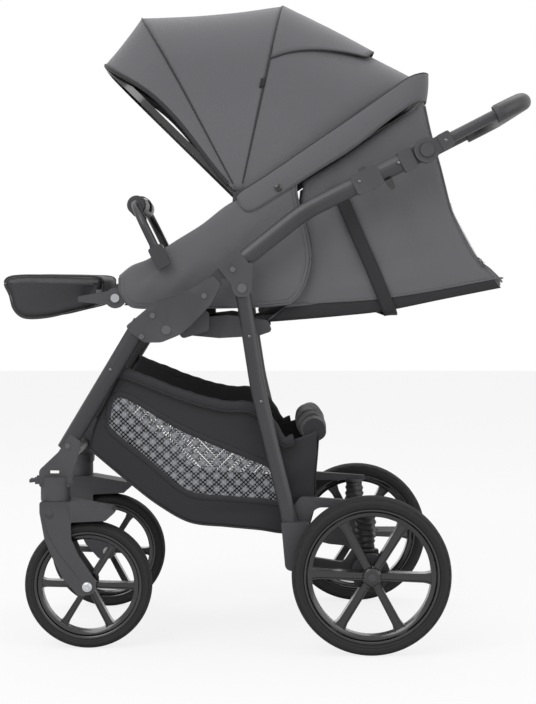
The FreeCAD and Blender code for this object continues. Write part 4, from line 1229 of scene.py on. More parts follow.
    def raised(self, arch: list[Vector], lift: float) -> list[Vector]:
        """An arch moved outwards by so many millimetres."""
        out = []
        for i, p in enumerate(arch):
            a, b = arch[max(i - 1, 0)], arch[min(i + 1, len(arch) - 1)]
            run = (b - a).normalized()
            top = arch[len(arch) // 2]
            ahead = Vector((top.x - AXLE_X - self.pin[0] * MM, 0, top.z - self.pin[1] * MM)).normalized()
            side = ahead.cross(Vector((0, 1, 0)))
            out.append(p - run.cross(side).normalized() * lift * MM)
        return out

    def make_flap(self, bow: list[Vector], rear: list[Vector]) -> None:
        """The flap over the vent at the back of the hood, standing a little off it, with a dark edge."""
        count, steps = self.across, 16
        rows, edges = [], [[], []]
        for i in range(steps + 1):
            v = 0.005 + 0.665 * i / steps
            open_part = 0.262 + 0.07 * math.sin(math.pi * 0.5 * i / steps) + 0.035 * (i / steps) ** 3
            row = []
            for j in range(41):
                t = open_part + (1 - 2 * open_part) * j / 40
                k = t * (count - 1)
                a, b, f = int(k), min(int(k) + 1, count - 1), k - int(k)
                p = bow[a].lerp(bow[b], f).lerp(rear[a].lerp(rear[b], f), v)
                lift = 2.6 + 6.5 * math.sin(math.pi * 0.5 * i / steps) * (1 - 0.35 * abs(2 * j / 40 - 1) ** 3)
                out = Vector((p.x - at(self.pin[0], 0, 0).x, p.y * 0.5, p.z - self.pin[1] * MM)).normalized()
                row.append(p + out * lift * MM)
            rows.append(row)
            edges[0].append(row[0])
            edges[1].append(row[-1])
        flap = sheet("hood_vent_flap", rows[::-1], "hood_cloth", "", 2.2, "lining_fabric")
        rim = edges[0] + rows[-1][1:-1] + edges[1][::-1]
        hem = seam("hood_flap_edge", spaced(rim, 160), 1.9, "")
        start, end = self.share(bow), self.share(rear)
        cloth(flap, 0.44, 0.19, "stretched", ["hood_rear_panel"], [hem], 0.85)
        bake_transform(flap)
        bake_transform(hem)

    def make_tag(self, bow: list[Vector]) -> None:
        """A small blank tag sewn into the rear seam."""
        p = bow[13]
        run = (bow[14] - bow[12]).normalized()
        across = Vector((1, 0, -0.15)).normalized()
        out = Vector((0, 1, 0))
        rows = [[p + (run * a + across * b + out * (2.4 + 0.8 * math.sin(b))) * MM for b in (-1.5, 1.5, 5, 8)]
                for a in (-9, -3, 3, 9)]
        tag = sheet("hood_blank_tag", rows, "webbing", "hood_rear", 0.9)
        cloth(tag, 0.018, 0.0105, "stretched", ["hood_rear_panel"])


@dataclass
class Band:
    """The cloth band that the hood is buttoned to, along both sides and round the back of the seat's top."""

    face: float = 192.2

    def dress(self) -> None:
        """Make the band, its piped edges and its press stud."""
        upper = [(246, 833), (236, 844), (189, 874), (120, 921), (30, 982), (-40, 1031), (-72, 1053)]
        lower = [(242, 822), (222, 806), (172, 834), (100, 880), (32, 923), (-24, 967), (-56, 991)]
        top = [at(x, self.face, z) for x, z in upper]
        low = [at(x, self.face, z) for x, z in lower]
        top += [at(-96, 186, 1061), at(-109, 160, 1062), at(-112, 110, 1061), at(-113, 50, 1061),
                at(-113, 0, 1061)]
        low += [at(-84, 187, 1009), at(-104, 162, 1013), at(-110, 110, 1013), at(-111, 50, 1013),
                at(-111, 0, 1013)]
        top, low = line(top, 60), line(low, 60)
        top += [Vector((p.x, -p.y, p.z)) for p in top[-2::-1]]
        low += [Vector((p.x, -p.y, p.z)) for p in low[-2::-1]]
        rows = []
        for i in range(9):
            v = i / 8
            row = []
            for a, b in zip(low, top):
                p = a.lerp(b, v)
                out = Vector((0, math.copysign(1, p.y), 0)) if abs(p.y) > 0.186 else Vector((p.x + 0.05,
                        p.y, 0)).normalized()
                row.append(p + out * (1.6 * math.sin(math.pi * v) + 0.8 * ripple(p, 40) - 1.0) * MM)
            rows.append(row)
        band = sheet("hood_side_band", rows, "hood_cloth", "seat", 2.4)
        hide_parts("hood_band")
        hems = [seam("band_upper_piping", rows[-1], 1.5, "seat"),
                seam("band_lower_piping", rows[0], 1.2, "seat", "trim")]
        cloth(band, 1.15, 0.05, "stretched", ["seat_frame"], hems)
        for side, s in SIDES.items():
            centre = at(169, (self.face + 1.6) * s, 850)
            turned(f"band_stud_{side}", centre, [(0.01, s * 1.0), (2.4, s * 0.9), (2.9, s * 2.2),
                                                 (5.6, s * 2.0),
                                                 (7.0, s * 0.8), (7.2, -s * 1.5)], "gloss_plastic",
                                                 "seat", 28,
                   closed=False)


# ---------------------------------------------------------------- padded things


def pillow(name: str, outline: Sequence[tuple[float, float]], half: float, look: str, body: str,
           rim: float = 16.0, dent: float = 0.0, count: int = 90, steps: int = 41) -> bpy.types.Object:
    """A closed, crowned form: a side-view outline carried across, drawn in at both ends.

    Args:
        name: the piece's name.
        outline: side-view points, going round.
        half: half its width.
        look: its finish.
        body: the body it rides on.
        rim: how far from its ends it starts to draw in.
        dent: height of soft creases over it, in millimetres.
        count: points round it.
        steps: rows across it.

    Returns:
        The new piece.
    """
    ring = line([at(x, 0, z) for x, z in outline], count, closed=True)
    area = sum(a.x * b.z - b.x * a.z for a, b in zip(ring, ring[1:] + ring[:1]))
    turn = 1 if area > 0 else -1
    low, high = min(p.z for p in ring), max(p.z for p in ring)
    thin = (high - low) / MM * 0.42
    rows = []
    for i in range(steps):
        t = math.sin(math.pi / 2 * (-1 + 2 * i / (steps - 1)))
        gap = half - abs(t) * half
        inset = min(rim, thin) * (1 - math.sqrt(max(0.0, 1 - max(0.0, 1 - gap / rim) ** 2)))
        row = []
        for j, p in enumerate(ring):
            run = (ring[(j + 1) % count] - ring[j - 1]).normalized()
            inward = Vector((-run.z, 0, run.x)) * turn
            q = p + inward * inset * MM + Vector((0, t * half * MM, 0))
            row.append(q - inward * dent * (ripple(q, 55.0, i * 0.003) + 0.6 * ripple(q, 23.0, 0.4)) * MM)
        rows.append(row)
    verts, faces = grid(rows, closed=True)
    faces += [tuple(range(count))[::-1], tuple(range(len(verts) - count, len(verts)))]
    piece = build(name, verts, faces, look, body)
    fix_normals(piece)
    return piece


def channels(piece: bpy.types.Object, lines: Sequence[float], deep: float, wide: float, above: float) -> None:
    """Press sewn channels into the top of a pad, across it.

    Args:
        piece: the pad.
        lines: how far forward each channel lies.
        deep: the depth of a channel.
        wide: its half width.
        above: the height over which points belong to the top, as a share of the pad's height there.
    """
    tops = [v.normal.z > above for v in piece.data.vertices]
    for v, top in zip(piece.data.vertices, tops):
        x = (v.co.x - AXLE_X) / MM
        if top:
            v.co.z -= deep * MM * sum(math.exp(-((x - spot) / wide) ** 2) for spot in lines)
    piece.data.update()


def ribbon(name: str, path: Sequence[Vector], across: Sequence[Vector], body: str, look: str = "webbing",
           thick: float = 1.6) -> bpy.types.Object:
    """A flat strap along a path, with the half-width at each point given as a vector."""
    rows = [[p - a, p - a * 0.5, p, p + a * 0.5, p + a] for p, a in zip(path, across)]
    return sheet(name, rows, look, body, thick)


# ---------------------------------------------------------------- seat


@dataclass
class Seat:
    """The seat: two soft side panels over the frame, a base, a cushion and its harness."""

    face: float = 188.6
    rear: tuple = ((149, 636), (127, 657), (112, 699), (110, 733), (119, 780), (134, 836), (136, 868))
    upper: tuple = ((136, 868), (190, 838), (253, 820), (310, 778), (360, 747), (408, 715), (440, 702),
                    (463, 684))
    lower: tuple = ((149, 636), (211, 631), (291, 629), (372, 629), (428, 629), (446, 635), (455, 648))
    front: tuple = ((455, 648), (462, 662), (463, 684))

    def dress(self) -> None:
        """Make the whole seat."""
        for side, s in SIDES.items():
            self.make_side(side, s)
        self.make_base()
        self.make_cushion()
        self.make_harness()

    def make_side(self, side: str, s: int) -> None:
        """One side panel, rolled over the frame tube and down inside, with its piping and hems."""
        wide, tall = 56, 22
        low, high = line(flat(self.lower, 0), wide), line(flat(self.upper, 0), wide)
        first, last = line(flat(self.rear, 0), tall), line(flat(self.front, 0), tall)

        def outside(u: float, v: float, p: Vector) -> Vector:
            """The panel's own relief: a soft belly and a few slack folds."""
            belly = 2.6 * (math.sin(math.pi * u) * math.sin(math.pi * v)) ** 0.5
            folds = 2.2 * ridge(p, (150, 800), (235, 690), 13) - 1.7 * ridge(p, (165, 812), (285, 668), 10)
            folds += 1.7 * ridge(p, (140, 665), (262, 650), 9) + 1.6 * ridge(p, (300, 742), (372, 650), 11)
            folds += 1.3 * ridge(p, (385, 700), (430, 645), 8) - 1.2 * ridge(p, (200, 700), (345, 655), 9)
            soft = (1.1 * ripple(p, 46.0) + 0.5 * ripple(p, 20.0, 0.3)) * min(1.0, 6 * v * (1 - v) + 0.15)
            return Vector((0, s * (self.face + belly + folds + soft), 0))

        rows = puffed(patch(low, high, first, last), outside)
        hem = rows[-1]
        for push, lift in ((-2.5, 2.2), (-6.5, 4.2), (-11.5, 4.6), (-16.5, 3.4), (-20.5, 0.4), (-22.5, -5.0)):
            rows.append([Vector((p.x, s * (abs(hem[j].y) + push * MM), p.z + lift * MM))
                         for j, p in enumerate(hem)])
        edge = rows[-1]
        for i in range(1, 9):
            rows.append([Vector((p.x, s * (0.1655 + 0.0016 * ripple(p, 40.0, i * 0.01)),
                                 p.z + (min(p.z, 0.642) - p.z) * i / 8)) for p in edge])
        panel = sheet(f"seat_side_{side}", rows, "seat_fabric", "seat", 1.8)
        outer = patch(low, high, first, last)
        rim = [Vector((p.x, s * (self.face + 1.0) * MM, p.z)) for p in
               [*[row[0] for row in outer[::-1]], *outer[0][1:], *[row[-1] for row in outer[1:]]]]
        piping = seam(f"seat_side_piping_{side}", spaced(rim, 200), 1.7, "seat", "trim")
        inset = spaced([Vector((p.x, s * (self.face + 2.1) * MM, p.z)) for p in
                        self.inner_line(outer, 8.5)], 180)
        thread = stitches(f"seat_side_stitches_{side}", inset, "seat", 4.2, 2.8, 0.4)
        cloth(panel, 0.37, 0.46, "stretched", ["seat_frame"], [piping, thread], 0.64)
        if s > 0:
            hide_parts("seat_shell")

    @staticmethod
    def inner_line(rows: list[list[Vector]], inset: float) -> list[Vector]:
        """A line just inside the rear, lower and front edges of a panel."""
        middle_point = sum((p for row in rows for p in row), Vector()) / sum(len(row) for row in rows)
        rim = [*[row[0] for row in rows[::-1]], *rows[0][1:], *[row[-1] for row in rows[1:]]]
        out = []
        for i, p in enumerate(rim):
            run = (rim[min(i + 1, len(rim) - 1)] - rim[max(i - 1, 0)]).normalized()
            normal = Vector((-run.z, 0, run.x))
            if normal.dot(middle_point - p) < 0:
                normal = -normal
            out.append(p + normal * inset * MM)
        return out

    def make_base(self) -> None:
        """The cloth under the cushion, hanging a little between the sides."""
        rows = []
        for i in range(17):
            x = 206 + (455 - 206) * i / 16
            rows.append([at(x, -170 + 340 * j / 24, 634 - 3.0 * math.sin(math.pi * j / 24) * math.sin(
                math.pi * i / 16)) for j in range(25)])
        base = sheet("seat_base_cloth", rows, "seat_fabric", "seat", 1.8)
        cloth(base, 0.34, 0.25, "stretched", ["seat_base_frame"])
        apron = []
        for i in range(7):
            v = i / 6
            apron.append([at(452 + 5 * math.sin(math.pi * v), -165 + 330 * j / 24, 634 + 34 * v)
                          for j in range(25)])
        front = sheet("seat_front_cloth", apron, "seat_fabric", "seat", 1.8)
        cloth(front, 0.33, 0.04, "stretched", ["seat_cushion_pad"])

    def make_cushion(self) -> None:
        """The padded cushion, with two sewn channels across and a seam round it."""
        outline = ((264, 638), (300, 637), (360, 637), (420, 637), (446, 639), (449, 652), (442, 666),
                   (420, 669),
                   (360, 670), (300, 669), (268, 667), (262, 652))
        pad = pillow("seat_cushion_pad", outline, 158, "seat_fabric", "seat", 20, 0.8)
        inflated(pad, 6.0)
        channels(pad, (318, 376), 3.5, 6.0, 0.5)
        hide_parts("seat_cushion")
        rim = [at(x, y, 655) for x, y in ((450, -140), (450, 0), (450, 140), (441, 158), (400, 162),
                                          (300, 162),
                                         (268, 158))]
        seam("seat_cushion_piping", line(rim, 90), 1.6, "seat", "trim")

    def make_harness(self) -> None:
        """The lap belts, crotch strap and buckle."""
        up = Vector((0, 14 * MM, 0))
        crotch = line([at(388, 0, 671), at(386, 0, 684), at(381, 0, 700), at(380, 0, 712)], 16)
        strap = ribbon("crotch_strap", crotch, [up] * 16, "seat")
        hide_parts("harness")
        cloth(strap, 0.045, 0.028, "hung", ["seat_cushion_pad"])
        for side, s in SIDES.items():
            path = line([at(270, 156 * s, 676), at(290, 128 * s, 682), at(330, 78 * s, 690),
                         at(362, 34 * s, 708),
                         at(374, 12 * s, 722)], 30)
            across = [Vector((0.008, 0.0, 0.009))] * 30
            belt = ribbon(f"lap_belt_{side}", path, across, "seat")
            cloth(belt, 0.17, 0.025, "draped", ["seat_cushion_pad"])
        shell = pillow("harness_buckle", ((362, 708), (398, 708), (404, 720), (398, 742), (366, 742),
                                          (357, 722)), 12,
                       "dark_plastic", "seat", 6, 0, 60, 17)
        shell.data.set_sharp_from_angle(angle=math.radians(50))
        turned("buckle_button", at(380, 0, 742), [(0.01, 2.6), (6.5, 2.2), (8.6, 0.8), (9.0, -3.0)],
               "gloss_plastic",
               "seat", 32, "z", closed=False)


# ---------------------------------------------------------------- backrest


@dataclass
class Backrest:
    """The reclined back: its pad, the soft walls round it, the zip, the strap that holds it and the belts."""

    half: float = 168.0
    low: tuple = ((192, 604), (127, 609), (48, 616), (-31, 625), (-130, 645), (-246, 668))
    high: tuple = ((122, 862), (60, 900), (-20, 955), (-84, 996), (-101, 1011))
    first: tuple = ((192, 604), (140, 650), (112, 733), (126, 806), (122, 862))
    last: tuple = ((-246, 668), (-247, 678), (-226, 700), (-201, 721), (-176, 763), (-156, 802), (-149, 823),
                   (-140, 858), (-131, 893), (-114, 952), (-101, 1011))

    def dress(self) -> None:
        """Make the whole backrest."""
        self.make_walls()
        self.make_pad()
        self.make_strap()
        self.make_belts()
        self.make_zip()

    def blended(self, piece: bpy.types.Object) -> bpy.types.Object:
        """Bake a piece's place into its mesh."""
        tuple(at(-60, 0, 985))
        tuple(at(-110, 0, 660))
        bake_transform(piece)
        return piece

    def wall(self) -> list[list[Vector]]:
        """The rows of the wall, round from the left front, behind and to the right front."""
        wide, tall = 44, 34
        side = patch(line(flat(self.low, 0), wide), line(flat(self.high, 0), wide),
                     line(flat(self.first, 0), tall), line(flat(self.last, 0), tall))
        rows = []
        for i, row in enumerate(side):
            v = i / (tall - 1)
            half = self.half + 3.0 * math.sin(math.pi * v) ** 0.7 + 5.0 * v
            left = []
            for j, p in enumerate(row):
                u = j / (wide - 1)
                rise = min(1.0, 5 * v) * min(1.0, 6 * (1 - v) + 0.2)
                folds = 3.6 * ridge(p, (60, 640), (88, 850), 12) - 3.0 * ridge(p, (20, 636), (40, 860), 11)
                folds += 4.2 * ridge(p, (-36, 660), (-10, 880), 13) - 3.4 * ridge(p, (-80, 668),
                        (-60, 850), 13)
                folds += 3.4 * ridge(p, (-130, 690), (-96, 905), 12) - 2.4 * ridge(p, (-190, 690),
                        (-130, 800), 11)
                folds += 2.6 * ridge(p, (100, 660), (-120, 690), 10) - 2.2 * ridge(p, (60, 700),
                        (-150, 735), 12)
                soft = 1.6 * ripple(p, 60.0) + 0.7 * ripple(p, 24.0, 0.2)
                left.append(Vector((p.x, (half + (folds * 0.8 + soft) * rise * (1 - u ** 6)) * MM, p.z)))
            end = row[-1]
            across = []
            for k in range(1, 30):
                t = 1 - 2 * k / 30
                bulge = 7.0 * (1 - t * t) * math.sin(math.pi * v) ** 0.8 + 1.4 * ripple(Vector((end.x,
                        t * 0.17, end.z)), 50)
                across.append(Vector((end.x - bulge * MM, half * t * MM, end.z)))
            right = [Vector((p.x, -p.y, p.z)) for p in left[::-1]]
            ring = left + across + right
            for _ in range(3):
                ring = [ring[0], *[(a + b * 2 + c) / 4 for a, b, c in zip(ring, ring[1:], ring[2:])],
                        ring[-1]]
            rows.append(ring)
        return rows

    def make_walls(self) -> None:
        """The wall in one sheet, its lower strip with a piped seam, and the hem at its back edge."""
        rows = self.wall()
        wall = sheet("backrest_wall", rows, "seat_fabric", "", 1.8)
        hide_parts("backrest_gusset")
        hems = []
        for side, s in SIDES.items():
            path = line([at(x, (self.half + 3.4) * s, z) for x, z in
                         ((150, 636), (70, 640), (-17, 646), (-110, 660), (-180, 673), (-232, 683))], 90)
            hems.append(self.blended(seam(f"backrest_piping_{side}", path, 1.8, "", "trim")))
            back = [Vector((p.x, s * (self.half + 1.5) * MM, p.z))
                    for p in line(flat(self.last, 0), 90)[2:-2]]
            hems.append(self.blended(seam(f"backrest_corner_piping_{side}", back, 1.5, "", "trim")))
            self.make_skirt(side, s)
        bottom = [at(x, y, z) for x, y, z in ((-232, 172, 683), (-249, 160, 684), (-254, 100, 684),
                                              (-254, 0, 684),
                                             (-254, -100, 684), (-249, -160, 684), (-232, -172, 683))]
        hems.append(self.blended(seam("backrest_rear_piping", line(bottom, 80), 1.8, "", "trim")))
        cloth(wall, 1.1, 0.4, "gathered", ["backrest_board"], hems, 0.71)
        self.blended(wall)

    def make_skirt(self, side: str, s: int) -> None:
        """The dark strip under the piped seam, along the board."""
        top = line([at(x, (self.half + 2.4) * s, z) for x, z in
                    ((150, 635), (70, 639), (-17, 645), (-110, 659), (-180, 672), (-232, 682))], 50)
        base = line([at(x, (self.half + 0.6) * s, z) for x, z in
                     ((186, 604), (120, 608), (48, 614), (-31, 623), (-130, 643), (-244, 666))], 50)
        rows = [[a.lerp(b, v) + Vector((0, s * 1.5 * math.sin(math.pi * v) * MM, 0)) for a,
                 b in zip(base, top)]
                for v in (0, 0.25, 0.5, 0.75, 1.0)]
        strip = sheet(f"backrest_skirt_{side}", rows, "lining_fabric", "", 1.4)
        cloth(strip, 0.43, 0.024, "stretched", ["backrest_board"])
        self.blended(strip)

    def make_pad(self) -> None:
        """The pad on the board, with sewn channels, and the cloth under the board."""
        outline = ((204, 618), (90, 627), (-30, 641), (-130, 660), (-230, 681), (-228, 690), (-190, 700),
                   (-130, 688), (-26, 665), (90, 654), (196, 643), (207, 632))
        pad = pillow("backrest_back_pad", outline, 150, "seat_fabric", "backrest", 16, 0.7, 120)
        inflated(pad, 6.0)
        channels(pad, (120, 40, -40, -120), 3.0, 6.0, 0.4)
        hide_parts("backrest_pad")
        under, across = [], 20
        for i, spot in enumerate(line(flat(self.low, 0), 25)):
            along = math.sin(math.pi * i / 24)
            row = []
            for j in range(across + 1):
                sag = 1.5 + 2.0 * math.sin(math.pi * j / across) * along
                row.append(Vector((spot.x, (-166 + 332 * j / across) * MM, spot.z - sag * MM)))
            under.append(row)
        lower = sheet("backrest_under_cloth", under, "lining_fabric", "backrest", 1.5)
        cloth(lower, 0.34, 0.46, "stretched", ["backrest_board"])

    def make_strap(self) -> None:
        """The recline strap, one webbing loop from side to side under the back."""
        side = [(62, 182, 852), (46, 182, 818), (20, 180.5, 758), (-6, 178.5, 700), (-26, 177, 652),
                (-37, 174, 626),
                (-41, 166, 616.5), (-41, 140, 615), (-41, 60, 615), (-41, 0, 615)]
        points = [at(*p) for p in side] + [at(x, -y, z) for x, y, z in side[-2::-1]]
        path = line(points, 150)
        across = []
        for p in path:
            share = max(0.0, min(1.0, (abs(p.y) - 0.15) / 0.024))
            across.append(Vector((0.0125, 0, 0)).lerp(Vector((0.0122, 0, -0.0035)), share))
        strap = ribbon("recline_webbing", path, across, "")
        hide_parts("recline_strap")
        cloth(strap, 0.84, 0.026, "stretched", ["backrest_wall"])
        self.blended(strap)

    def make_belts(self) -> None:
        """The shoulder belts and their pads, lying on the back pad."""
        for side, s in SIDES.items():
            top = [(228, 46, 660), (196, 50, 652), (120, 56, 657), (30, 60, 663), (-30, 62, 673),
                   (-90, 62, 686),
                   (-112, 62, 690)]
            path = line([at(x, y * s, z) for x, y, z in top], 60)
            belt = ribbon(f"shoulder_belt_{side}", path, [Vector((0, 0.0125, 0))] * 60, "backrest")
            cloth(belt, 0.35, 0.025, "laid", ["backrest_back_pad"])
            cover = tube(f"shoulder_pad_{side}", path[14:48], 21.0, "seat_fabric", "backrest", 5.0, 20,
                         swell=lambda t: 0.55 + 0.45 * math.sin(math.pi * min(max(t, 0.04),
                                 0.96)) ** 0.25, power=0.7)

    def make_zip(self) -> None:
        """The zip along the back edge, with its plain slider and pull."""
        for side, s in SIDES.items():
            edge = line(flat(((-215, 712), (-201, 723), (-177, 765), (-157, 802), (-150, 823)), 0), 60)
            path = [Vector((p.x - 1.5 * MM, s * (self.half - 3) * MM, p.z)) for p in edge]
            teeth = stitches(f"zip_teeth_{side}", path, "", 2.4, 1.3, 0.9)
            teeth.data.materials[0] = finish("dark_plastic")
            self.blended(teeth)
            pull = line([at(-203, (self.half + 1) * s, 722), at(-210, (self.half + 2) * s, 716),
                         at(-214, (self.half + 3) * s, 704)], 10)
            self.blended(tube(f"zip_pull_{side}", pull, 2.6, "dark_plastic", "", 0.9, 10, power=0.5))


# ---------------------------------------------------------------- footrest and bumper


@dataclass
class Footrest:
    """The padded step; its hinge discs are not made here."""

    half: float = 140.0

    def dress(self) -> None:
        """Make the wrapped pad, its seams and the grey tab."""
        outline = ((502, 684), (548, 688), (600, 689), (650, 689), (676, 685), (683, 673), (674, 652),
                   (667, 627),
                   (653, 612), (633, 608), (599, 611), (560, 620), (520, 630), (505, 640), (500, 660))
        pad = pillow("footrest_wrap", outline, self.half, "step_leatherette", "footrest", 14, 1.1, 140)
        for v in pad.data.vertices:
            fold = ridge(v.co, (640, 690), (600, 612), 7) * 1.4 + ridge(v.co, (672, 680), (636, 640), 5) * 1.2
            fold += ridge(v.co, (560, 686), (575, 622), 9) * 1.0 - ridge(v.co, (520, 676), (660, 668),
                    6) * 1.2
            v.co.y += math.copysign(fold * MM, v.co.y) if abs(v.co.y) > 0.125 else 0.0
        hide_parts("footrest_cover")
        for side, s in SIDES.items():
            ring = line([at(x, (self.half - 4) * s, z) for x, z in outline], 160, closed=True)
            tube(f"footrest_piping_{side}", ring, 1.7, "step_leatherette", "footrest", sides=8, closed=True)
            tab = [[at(x, (self.half + 1.2) * s, z) for x in (499, 505, 511)] for z in (652, 657, 662)]
            grey = sheet(f"footrest_tab_{side}", tab, "seat_fabric", "footrest", 1.4)
            cloth(grey, 0.0125, 0.0105, "stretched", ["footrest_wrap"])


@dataclass
class Bumper:
    """The wrapped bar in front of the seat, with its crotch strap."""

    centre: tuple[float, float] = (435.6, 821.5)
    half: float = 128.0

    def dress(self) -> None:
        """Make the grip, its collars and stitches, and the strap down to the seat."""
        x, z = self.centre
        path = [at(x, y, z) for y in np.linspace(-self.half, self.half, 61)]
        grip = tube("bumper_wrap", path, 18.6, "grip_leatherette", "bumper", 18.6, 32,
                    swell=lambda t: 0.9 + 0.1 * math.sin(math.pi * min(max(t, 0.0), 1.0)) ** 0.15)
        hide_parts("bumper_grip")
        stitches("bumper_stitches", [p + Vector((-0.0125, 0, -0.0135)) for p in path[2:-2]], "bumper",
                 5.5, 3.6, 0.45)
        for side, s in SIDES.items():
            ends = [at(x, (self.half + d) * s, z) for d in (-3.0, -1.0, 3.0, 4.0)]
            tube(f"bumper_collar_{side}", ends, 15.5, "dark_plastic", "bumper", 15.5, 28)
        ring = line([at(x + 20.5 * math.cos(a), 0, z + 20.5 * math.sin(a)) for a in
                     np.linspace(-2.0, 3.6, 24)], 60)
        loop = ribbon("bumper_loop", ring, [Vector((0, 0.017, 0))] * 60, "bumper")
        cloth(loop, 0.125, 0.034, "stretched", ["bumper_wrap"])
        down = line([at(x - 8, 0, z - 19), at(x - 14, 0, z - 50), at(x - 22, 0, z - 105),
                     at(x - 27, 0, z - 150)], 40)
        strap = ribbon("bumper_strap", down, [Vector((0, 0.017, 0))] * 40, "")
        cloth(strap, 0.145, 0.034, "stretched", ["bumper_loop"])
        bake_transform(strap)


# ---------------------------------------------------------------- basket


@dataclass
class Basket:
    """The shopping basket: net windows in black walls, hung from padded rails and a rolled rear edge."""

    rail: tuple = ((458, 512), (409, 493), (341, 467), (273, 449), (222, 446), (190, 425), (163, 384),
                   (140, 386),
                   (98, 402))
    lower: tuple = ((109, 231), (130, 219), (160, 212), (203, 218), (265, 224), (332, 232), (390, 264),
                    (444, 306),
                    (517, 368))
    mesh: tuple = ((459, 470), (484, 428), (479, 403), (410, 345), (338, 287), (270, 277), (203, 272),
                   (160, 269),
                   (166, 305), (184, 336), (203, 347), (341, 405))

    def dress(self) -> None:
        """Make the walls, nets, rails, floor, front and the rolled rear edge."""
        for side, s in SIDES.items():
            self.make_side(side, s)
        self.make_floor()
        self.make_rear()

    @staticmethod
    def width(p: Vector) -> float:
        """Half the basket's width at a height: narrower below."""
        return 0.196 + 0.013 * min(max((p.z - 0.215) / 0.26, 0.0), 1.0)

    def make_side(self, side: str, s: int) -> None:
        """One wall with its window, net, binding and padded rail."""
        wide, tall = 84, 40
        rear = ((109, 231), (103, 269), (103, 319), (98, 360), (98, 402))
        front = ((517, 368), (512, 395), (502, 425), (478, 474), (458, 512))
        rows = patch(line(flat(self.lower, 0), wide), line(flat(self.rail[::-1], 0), wide),
                     line(flat(rear, 0), tall), line(flat(front, 0), tall))

        def shape(u: float, v: float, p: Vector) -> Vector:
            """Slack cloth that bellies out between its edges."""
            belly = 4.0 * math.sin(math.pi * v) * math.sin(math.pi * u) ** 0.5
            folds = 2.2 * ridge(p, (120, 340), (215, 280), 14) - 1.8 * ridge(p, (120, 250), (330, 250), 10)
            folds += 1.5 * ripple(p, 60.0) * math.sin(math.pi * v)
            return Vector((0, s * (self.width(p) / MM + belly + folds), 0))

        rows = puffed(rows, shape)
        verts, faces = grid(rows)
        ring = line(flat(self.mesh, 0), 90, closed=True)
        window = [(p.x, p.z) for p in ring]
        solid, open_faces = [], []
        for face in faces:
            c = sum((verts[k] for k in face), Vector()) / 4
            (open_faces if self.within(c, window) else solid).append(face)
        wall = build(f"basket_wall_{side}", verts, solid, "basket_fabric", "front_frame")
        shaped(wall, "SOLIDIFY", thickness=1.6 * MM, offset=0.0)
        used = sorted({k for f in open_faces for k in f})
        index = {k: i for i, k in enumerate(used)}
        net = build(f"basket_net_{side}", [verts[k] for k in used],
                    [tuple(index[k] for k in f) for f in open_faces],
                    "net", "front_frame")
        shaped(net, "SOLIDIFY", thickness=0.8 * MM, offset=0.0)
        edge = self.lifted(ring, rows, s, 1.2)
        binding = tube(f"basket_binding_{side}", edge, 1.3, "basket_fabric", "front_frame", 5.5, 10,
                       closed=True,
                       up=Vector((0, 0, 1)))
        top = line([at(x, 214 * s, z) for x, z in self.rail[:8]], 120)
        rail = tube(f"basket_rail_{side}", top, 5.5, "basket_fabric", "front_frame", 11.0, 22,
                    swell=lambda t: 1.0 + 0.035 * math.sin(t * 90) + 0.03 * math.sin(t * 37 + 1))
        rail_hem = seam(f"basket_rail_piping_{side}", [p + Vector((0, s * 5.0 * MM, -7.5 * MM))
                                                       for p in top], 1.2,
                        "front_frame", "piping")
        base = [Vector((row.x, s * (self.width(row) + 0.0016), row.z))
                for row in line(flat(self.lower, 0), 110)]
        low_hem = seam(f"basket_base_piping_{side}", base, 1.8, "front_frame", "piping")
        cloth(wall, 0.42, 0.24, "hung", [f"basket_rail_{side}"], [binding, rail_hem, low_hem], 0.53)
        cloth(net, 0.32, 0.2, "stretched", [f"basket_wall_{side}"], share=0.47)
        if s > 0:
            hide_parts("basket")

    def lifted(self, ring: list[Vector], rows: list[list[Vector]], s: int, lift: float) -> list[Vector]:
        """Lay a side-view ring on the wall, so many millimetres proud of it."""
        points = [p for row in rows for p in row]
        xz = np.array([(p.x, p.z) for p in points])
        ys = np.array([abs(p.y) for p in points])
        out = []
        for p in ring:
            near = np.argsort(((xz - (p.x, p.z)) ** 2).sum(axis=1))[:4]
            out.append(Vector((p.x, s * (float(ys[near].mean()) + lift * MM), p.z)))
        return out

    @staticmethod
    def within(p: Vector, ring: list[tuple[float, float]]) -> bool:
        """Whether a point lies inside a side-view ring."""
        inside = False
        for (ax, az), (bx, bz) in zip(ring, ring[1:] + ring[:1]):
            if (az > p.z) != (bz > p.z) and p.x < (bx - ax) * (p.z - az) / (bz - az) + ax:
                inside = not inside
        return inside

    def make_floor(self) -> None:
        """The floor and the front, in one sheet that sags between the walls."""
        path = line(flat(self.lower, 0), 60)
        rows = []
        for i, p in enumerate(path):
            u = i / 59
            half = self.width(p)
            rows.append([Vector((p.x, half * (-1 + 2 * j / 24), p.z - 0.006 * math.sin(math.pi * j / 24)
                                 * math.sin(math.pi * u))) for j in range(25)])
        floor = sheet("basket_floor", rows, "basket_fabric", "front_frame", 2.0)
        cloth(floor, 0.40, 0.48, "hung", ["basket_wall_left", "basket_wall_right"])
        front = line(flat(((517, 368), (512, 395), (502, 425), (488, 452)), 0), 16)
        wall = sheet("basket_front", [[Vector((p.x, self.width(p) * (-1 + 2 * j / 24), p.z))
                                       for j in range(25)]
                                      for p in front], "basket_fabric", "front_frame", 1.8)
        cloth(wall, 0.42, 0.095, "stretched", ["basket_wall_left", "basket_wall_right"])

